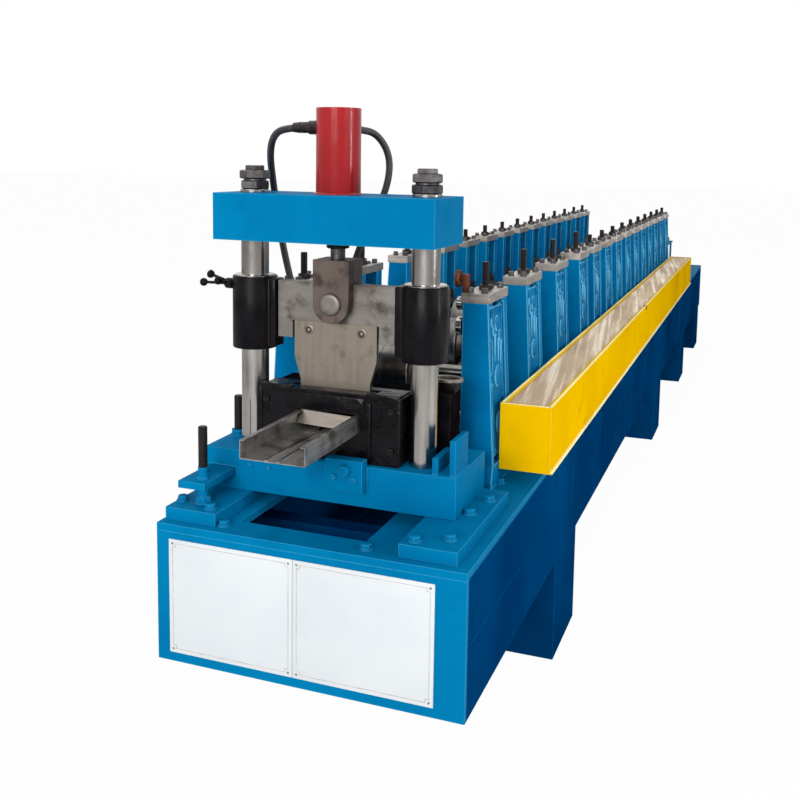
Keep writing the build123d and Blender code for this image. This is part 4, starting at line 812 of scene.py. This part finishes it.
for row_x in ROW_XS:
    outward = 1 if row_x > 0 else -1
    hexagon(nuts, (row_x, FIRST_Y, CAP_TOP), UP, 34, 16, 0.4)
    for step_x, step_y, height in ((-22, -78, 13), (20, -74, 13), (-20, 72, 13), (24, 78, 13)):
        spot = (row_x + step_x * outward, FIRST_Y + step_y, CAP_TOP)
        turned(cap_bolts, spot, UP, [(0, 11), (2, 11), (2, 10)], 16)
        hexagon(cap_bolts, (*spot[:2], CAP_TOP + 2), UP, 17, height, step_y)
    block(cap_bolts, (row_x - 16, FIRST_Y + 24, CAP_TOP), (row_x + 12, FIRST_Y + 56, CAP_TOP + 9), 2)
repeat_piece("screw_nuts", nuts, dark_steel)
repeat_piece("cap_bolts", cap_bolts, grey_steel)
TALL_STATIONS = 4
SCREW_FOOT, SCREW_RADIUS = 1082, 11
for name, rise, first, count in (
    ("adjusting_threads", 84, 0, TALL_STATIONS),
    ("low_adjusting_threads", 50, TALL_STATIONS, STATIONS - TALL_STATIONS),
):
    screws = bmesh.new()
    for row_x in ROW_XS:
        stem = [(0, SCREW_RADIUS), (CAP_TOP - SCREW_FOOT, SCREW_RADIUS)]
        turned(screws, (row_x, FIRST_Y, SCREW_FOOT), UP, stem, 12)
        threaded(screws, (row_x, FIRST_Y, CAP_TOP), rise, SCREW_RADIUS + 0.5)
    repeat_piece(name, screws, black_gloss, "adjusting_screws", first=first, count=count)

COVER_OUTLINE = (
    (-80, 800), (60, 800), (64, 806), (64, 1236), (58, 1242), (-74, 1242), (-80, 1236),
    (-80, 1150), (-47, 1142), (-47, 1050), (-80, 1042),
)
COVER_BACK, COVER_SINK = 6.5, 6
BOSSES = (
    (2, 889, 30, 12), (2, 1030, 30, 10), (8, 1188, 22, 9),
    (-38, 1200, 16, 9), (38, 1150, 14, 7), (-30, 1168, 11, 8),
)
RIBS = ((46, 860, 1130), (-68, 830, 1020), (-14, 1080, 1160), (20, 1076, 1140))


def face_reach(z):
    """Gives how far a stand's tapered side stands out from its pocket's floor at a height."""
    return 42 - 28 * (z - 717) / 543


covers = bmesh.new()
cover_bolts = bmesh.new()
slot_shades = bmesh.new()
for floor_x, outward in ((276, 1), (-372, -1)):
    near, far = [], []
    for y, z in COVER_OUTLINE:
        face_x = floor_x + (face_reach(z) - COVER_SINK) * outward
        near.append(covers.verts.new(place(floor_x + COVER_BACK * outward, FIRST_Y + y, z)))
        far.append(covers.verts.new(place(face_x, FIRST_Y + y, z)))
    covers.faces.new(near)
    covers.faces.new(far[::-1])
    skin(covers, near, far)
    for y, z, radius, height in BOSSES:
        foot = (floor_x + (face_reach(z) - 8) * outward, FIRST_Y + y, z)
        contour = [(0, radius), (height - 4, radius - 2), (height - 1, radius - 5), (height, radius - 9)]
        turned(covers, foot, (outward, 0, 0), contour, 24)
    for y, low, high in RIBS:
        sunk_x = floor_x + (face_reach(high) - 10) * outward
        proud_x = floor_x + (face_reach(high) - 1) * outward
        block(covers, (sunk_x, FIRST_Y + y - 6, low), (proud_x, FIRST_Y + y + 6, high), 3)
    for y, z in ((-66, 820), (50, 820), (-62, 1222), (50, 1222)):
        foot = (floor_x + (face_reach(z) - COVER_SINK) * outward, FIRST_Y + y, z)
        hexagon(cover_bolts, foot, (outward, 0, 0), 15, 7, z)
    # A thin black sheet on each pocket floor stands for the dark slot: painted shade.
    slot_x = floor_x + COVER_BACK * outward
    block(slot_shades, (slot_x, FIRST_Y - 86, 1051), (slot_x + 2.5 * outward, FIRST_Y - 48, 1141), 1)
repeat_piece("bearing_covers", covers, cast_paint)
repeat_piece("cover_bolts", cover_bolts, blue_paint)
repeat_piece("stand_slots", slot_shades, black_gloss)


# Rolls
# Turned steel rolls on their shafts, the lower ones with flanks that fold the strip a little more each time.
# They are bare steel with oily clouds.
PASS_X, LOWER_Z, UPPER_Z = -48, 889, 1030
ACROSS = (1, 0, 0)
WEB_RADIUS, UPPER_RADIUS, WEB_HALF, FLANGE, RIM = 54, 85, 88, 47, 14
roll_steel = steel(
    "roll_steel", srgb(112, 108, 104), srgb(64, 61, 59), rough=(0.2, 0.42), streak_stretch=(1, 0.2, 0.2),
    strength=0.1, oil=srgb(38, 35, 34),
)
SHAFT = [(-262, 21), (-150, 21), (-150, 30), (-128, 30)]


def mirrored(contour):
    """Completes a contour by its mirror image."""
    return contour + [(-distance, radius) for distance, radius in contour[::-1]]


def lower_contour(station, shaft):
    """Gives the turned outline of a lower roll, whose flanks follow the flange angle."""
    angle = math.radians(90 * (STATIONS - station) / STATIONS)
    flank_x = WEB_HALF + FLANGE * math.cos(angle)
    flank_r = WEB_RADIUS + FLANGE * math.sin(angle)
    outline = list(shaft)
    if station < WIDE_PITCHES:
        outline += [(-flank_x - RIM, flank_r - 4), (-flank_x - RIM + 4, flank_r)]
    outline += [(-flank_x, flank_r), (-WEB_HALF, WEB_RADIUS), (-WEB_HALF + 3, WEB_RADIUS + 0.3)]
    return mirrored(outline)


def station_y(station):
    """Gives how far along the machine a station is."""
    wide = min(station, WIDE_PITCHES)
    return FIRST_Y + 1000 * (wide * WIDE_PITCH + (station - wide) * NEXT_PITCH)


UPPER_CONTOUR = [
    (-85, 60), (-85, UPPER_RADIUS - 3), (-82, UPPER_RADIUS), (-4, UPPER_RADIUS), (-3, UPPER_RADIUS - 2),
]
EXIT_SHAFT = [(-329, 17.9), (-257, 17.9), (-257, 21), (-150, 21), (-150, 30), (-128, 30)]
lower = bmesh.new()
for station in range(1, STATIONS):
    turned(lower, (PASS_X, station_y(station), LOWER_Z), ACROSS, lower_contour(station, SHAFT), 48)
make_piece("turned_lower_rolls", lower, roll_steel, "lower_rolls")
upper = bmesh.new()
turned(upper, (PASS_X, FIRST_Y, UPPER_Z), ACROSS, mirrored(SHAFT + UPPER_CONTOUR), 48)
repeat_piece("turned_upper_rolls", upper, roll_steel, "upper_rolls", first=1, count=STATIONS - 1)
exit_lower = bmesh.new()
turned(exit_lower, (PASS_X, FIRST_Y, LOWER_Z), ACROSS, lower_contour(0, EXIT_SHAFT), 64)
make_piece("exit_lower_turned", exit_lower, roll_steel, "exit_lower_roll", body="exit_lower_shaft")
exit_upper = bmesh.new()
turned(exit_upper, (PASS_X, FIRST_Y, UPPER_Z), ACROSS, mirrored(EXIT_SHAFT + UPPER_CONTOUR), 64)
make_piece("exit_upper_turned", exit_upper, roll_steel, "exit_upper_roll", body="exit_upper_shaft")


# Chain drive
# A steel roller chain runs over a hobbed sprocket on each lower shaft but the first, inside the guard.
# Each link is two side plates riveted through a roller.
SPROCKET_X, SPROCKET_RADIUS, TEETH = 362, 50, 17
TOOTH = ((0.0, 45), (0.25, 47), (0.42, 53), (0.58, 53), (0.75, 47))
CHAIN_PITCH = 19.05
sprocket = bmesh.new()
outline = []
for tooth in range(TEETH):
    for share, reach in TOOTH:
        angle = math.tau * (tooth + share) / TEETH
        outline.append((SPROCKET_X, FIRST_Y + reach * math.cos(angle), LOWER_Z + reach * math.sin(angle)))
slab(sprocket, outline, (12, 0, 0))
HUB = [(0, 21), (36, 21), (36, 32), (60, 32), (64, 28), (64, 14)]
turned(sprocket, (318, FIRST_Y, LOWER_Z), ACROSS, HUB, 24)
repeat_piece("toothed_sprockets", sprocket, dark_steel, "drive_sprockets", first=1, count=STATIONS - 1)


def along_loop():
    """Lays a link at even steps along a closed loop."""
    tree, given = new_tree("along_loop", Geometry="Geometry", Loop="Object", Links="Int", Finish="Material")
    route = add_node(tree, "GeometryNodeObjectInfo", {"Object": given["Loop"]}).outputs["Geometry"]
    evenly = {"Curve": route, "Count": given["Links"]}
    steps = add_node(tree, "GeometryNodeCurveToPoints", evenly, mode="COUNT").outputs
    placed = {"Points": steps["Points"], "Rotation": steps["Rotation"], "Instance": given["Geometry"]}
    instances = add_node(tree, "GeometryNodeInstanceOnPoints", placed).outputs[0]
    end_tree(tree, instances, given["Finish"])
    return tree


loop = bpy.data.curves.new("chain_route", "CURVE")
loop.dimensions = "3D"
near_y, far_y = station_y(1), station_y(STATIONS - 1)
corners = []
for centre, start in ((far_y, -90), (near_y, 90)):
    for step in range(13):
        angle = math.radians(start + 15 * step)
        y = centre + SPROCKET_RADIUS * math.cos(angle)
        corners.append((y, LOWER_Z + SPROCKET_RADIUS * math.sin(angle)))
line = loop.splines.new("POLY")
line.points.add(len(corners) - 1)
for point, (y, z) in zip(line.points, corners):
    point.co = (*place(SPROCKET_X + 6, y, z), 1.0)
line.use_cyclic_u = True
loop_object = add_object("chain_route", loop)
link = bmesh.new()
turned(link, (-8, 0, 0), ACROSS, [(0, 4), (2, 4), (2, 6), (14, 6), (14, 4), (16, 4)], 10)
for x in (-8.5, 6.5):
    outline = [(x, 13 * math.cos(a), 7.5 * math.sin(a)) for a in [math.tau * step / 12 for step in range(12)]]
    slab(link, outline, (2, 0, 0))
bmesh.ops.transform(link, matrix=Matrix.Translation(-place(0, 0, 0)), verts=link.verts)
bmesh.ops.rotate(link, cent=(0, 0, 0), matrix=Matrix.Rotation(math.pi / 2, 3, "X"), verts=link.verts)
bmesh.ops.recalc_face_normals(link, faces=link.faces)
link_mesh = bpy.data.meshes.new("chain_links")
link.to_mesh(link_mesh)
link.free()
chain = add_object("chain_links", link_mesh)
LINKS = round((2 * (far_y - near_y) + math.tau * SPROCKET_RADIUS) / CHAIN_PITCH)
set_tree(chain, along_loop(), Loop=loop_object, Links=LINKS, Finish=dark_steel)
bpy.data.objects.remove(loop_object)
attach(chain, "root")
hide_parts("drive_chain")


# Chain guard
# A long trough of bent yellow sheet on blue feet, with a top of bare wire mesh in a narrow rim.
GUARD_LEFT, GUARD_RIGHT, GUARD_NEAR, GUARD_FAR = 320, 474, 643, 5523
MESH_Z = 957
WIRE_SIDES = 5
# The turn of the mesh's painted reflection streaks.
STREAKS_TURN = math.radians(-8)
yellow_paint = enamel("yellow_paint", srgb(236, 187, 0), srgb(222, 170, 0), srgb(250, 224, 90), specular=0.0)


def bright_wire(name):
    """Bare wire, tan where it has aged, with pale streaks a little aslant to the guard: painted reflections
    of the stands' bright edges.
    """
    material, tree, shader, where = new_material(name)
    shader.inputs["Metallic"].default_value = 0.3
    turned_by = {"Vector": where, "Rotation": (0, 0, STREAKS_TURN)}
    aslant = add_node(tree, "ShaderNodeMapping", turned_by).outputs["Vector"]
    # The pale aslant streaks are painted reflections.
    streaks = noise(tree, aslant, 56.0, 2.0, stretch=(1, 0.02, 1), low=0.48, high=0.7)
    tint = noise(tree, where, 1.3, 4.0)
    base = between(tree, tint, srgb(212, 190, 160), srgb(188, 164, 138))
    bright = between(tree, streaks, base, srgb(248, 236, 218))
    coat(tree, shader, bright, in_range(tree, tint, 0.45, 0.65))
    return material


mesh_steel = bright_wire("mesh_steel")
# The guard's bent top edges and lower lip take a pale cream copy of the yellow: painted highlights.
cream_edge = enamel("cream_edge", srgb(246, 236, 176), srgb(240, 224, 140), srgb(250, 246, 210))
cream_edge["slot"] = "yellow_paint"
finish_node(yellow_paint, "chain_guard")
finish_node(blue_paint, "guard_feet")


def wire_grid():
    """Weaves a flat grid of wires: many short ones across, a few long ones along."""
    tree, given = new_tree(
        "wire_grid", Corner="Vector", Width="Float", Length="Float", Pitch="Float", Wire="Float",
        Finish="Material",
    )
    join = tree.nodes.new("GeometryNodeJoinGeometry")
    for reach, span, axis in (("Width", "Length", "Y"), ("Length", "Width", "X")):
        count = math_node(tree, "DIVIDE", given[span], given["Pitch"])
        step = add_node(tree, "ShaderNodeCombineXYZ", {axis: given["Pitch"]}).outputs[0]
        row = {"Count": count, "Start Location": given["Corner"], "Offset": step}
        points = add_node(tree, "GeometryNodeMeshLine", row).outputs[0]
        end = add_node(tree, "ShaderNodeCombineXYZ", {"X" if axis == "Y" else "Y": given[reach]}).outputs[0]
        route = add_node(tree, "GeometryNodeCurvePrimitiveLine", {"End": end}).outputs[0]
        round_bar = {"Resolution": WIRE_SIDES, "Radius": given["Wire"]}
        section = add_node(tree, "GeometryNodeCurvePrimitiveCircle", round_bar).outputs[0]
        swept = {"Curve": route, "Profile Curve": section, "Fill Caps": True}
        wire = add_node(tree, "GeometryNodeCurveToMesh", swept).outputs[0]
        placed = {"Points": points, "Instance": wire}
        instances = add_node(tree, "GeometryNodeInstanceOnPoints", placed).outputs[0]
        tree.links.new(instances, join.inputs[0])
    end_tree(tree, join.outputs[0], given["Finish"])
    return tree


mesh_piece = add_object("guard_wires", bpy.data.meshes.new("guard_wires"))
set_tree(
    mesh_piece, wire_grid(), Corner=tuple(place(GUARD_LEFT + 8, GUARD_NEAR + 8, MESH_Z - 2.4)), Width=0.138,
    Length=4.864, Pitch=0.010, Wire=0.0014, Finish=mesh_steel,
)
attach(mesh_piece, "root")
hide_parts("guard_mesh")
CLIP_NEAR, CLIP_FAR, CLIP_TOP = 2794, 2816, 963
clips = bmesh.new()
block(clips, (GUARD_RIGHT - 15, CLIP_NEAR, 960.5), (GUARD_RIGHT + 2, CLIP_FAR, CLIP_TOP), 1)
block(clips, (GUARD_RIGHT, CLIP_NEAR, 944), (GUARD_RIGHT + 3, CLIP_FAR, CLIP_TOP), 1)
make_piece("guard_clips", clips, dark_steel)
GUARD_TOP, EDGE_TOP = 960, 962.5
edges = bmesh.new()
for x in (GUARD_LEFT + 0.5, GUARD_RIGHT - 8.5):
    block(edges, (x, GUARD_NEAR + 1, GUARD_TOP), (x + 8, GUARD_FAR - 1, EDGE_TOP), 0.5)
block(
    edges, (GUARD_LEFT + 1.5, GUARD_NEAR + 0.5, GUARD_TOP), (GUARD_RIGHT - 1.5, GUARD_NEAR + 6, EDGE_TOP), 0.5
)
block(edges, (GUARD_RIGHT - 1, GUARD_NEAR + 1, 761.5), (GUARD_RIGHT + 6, GUARD_FAR - 1, 772), 0.5)
make_piece("guard_edges", edges, cream_edge)


# Infeed table and drive
# A flat table on trestles brings the strip in between two guide bars, which bolts hold down.
# The motor and its gear reducer hang under the bed, in plain grey paint.
finish_node(blue_paint, "infeed_table")
finish_node(ground_steel, "infeed_guides")
motor_paint = enamel("motor_paint", srgb(64, 72, 80), srgb(48, 56, 64), srgb(110, 116, 122))
finish_node(motor_paint, "drive_motor", "gear_reducer")
GUIDE_BAR_XS, GUIDE_BAR_TOP = (-216, 120), 973
guide_bolts = bmesh.new()
for x in GUIDE_BAR_XS:
    for y in (5700, 5980, 6260, 6540, 6820, 7100, 7280):
        hexagon(guide_bolts, (x, y, GUIDE_BAR_TOP), UP, 16, 8, y)
make_piece("guide_bolts", guide_bolts, dark_steel)


# Floor and light
# A plain white studio: one large soft lamp in front, a narrow one that draws bright lines on the round
# parts, and weak ones above and on the guard's side. The floor glows a little, and keeps its shadow.
FLOOR_GLOW, ROOM_LIGHT = 0.97, 0.45
WHITE = (1, 1, 1, 1)


def mixed(tree, factor, first, second):
    """Mixes two shaders by a factor from 0 to 1."""
    inputs = {"Fac": factor, 1: first.outputs[0], 2: second.outputs[0]}
    return add_node(tree, "ShaderNodeMixShader", inputs).outputs[0]


floor_mesh = bpy.data.meshes.new("floor")
shape = bmesh.new()
bmesh.ops.create_grid(shape, x_segments=1, y_segments=1, size=60.0)
shape.to_mesh(floor_mesh)
shape.free()
floor = add_object("floor", floor_mesh)
floor_white = bpy.data.materials.new("floor_white")
floor_white.use_nodes = True
tree = floor_white.node_tree
tree.nodes.clear()
paint = add_node(tree, "ShaderNodeBsdfDiffuse", {"Color": (0.82, 0.82, 0.82, 1)})
glow = add_node(tree, "ShaderNodeEmission", {"Color": WHITE})
path = tree.nodes.new("ShaderNodeLightPath").outputs
share = math_node(tree, "MULTIPLY", path["Is Camera Ray"], FLOOR_GLOW)
add_node(tree, "ShaderNodeOutputMaterial", {"Surface": mixed(tree, share, paint, glow)})
floor_mesh.materials.append(floor_white)

world = bpy.data.worlds.new("studio")
world.use_nodes = True
bpy.context.scene.world = world
tree = world.node_tree
room = tree.nodes["Background"]
room.inputs["Color"].default_value = WHITE
room.inputs["Strength"].default_value = ROOM_LIGHT
white = add_node(tree, "ShaderNodeBackground", {"Color": WHITE, "Strength": 1.0})
path = tree.nodes.new("ShaderNodeLightPath").outputs
seen = math_node(tree, "MAXIMUM", path["Is Camera Ray"], path["Is Transmission Ray"])
clear = math_node(tree, "MAXIMUM", seen, path["Is Glossy Ray"])
tree.links.new(mixed(tree, clear, room, white), tree.nodes["World Output"].inputs["Surface"])


def lamp(name, spot, aim, size, watts):
    """Hangs a soft lamp and points it at a place."""
    light = bpy.data.lights.new(name, "AREA")
    light.shape = "RECTANGLE"
    light.size, light.size_y = size
    light.energy = watts
    holder = add_object(name, light)
    look = (Vector(aim) - Vector(spot)).to_track_quat("-Z", "Y")
    holder.matrix_world = Matrix.Translation(spot) @ look.to_matrix().to_4x4()


lamp("front_lamp", (0.2, -14.0, 4.2), (0, -3.0, 0.9), (6.0, 3.5), 930)
lamp("strip_lamp", (5.0, -3.3, 2.4), (0, -3.3, 1.5), (0.3, 2.6), 75)
lamp("top_lamp", (-1.0, -1.0, 6.0), (0, 0, 0.8), (5.0, 9.0), 140)
lamp("side_lamp", (6.0, -4.0, 3.0), (0, -1.0, 0.8), (6.0, 2.5), 70)

scene = bpy.context.scene
scene.view_settings.view_transform = "Standard"
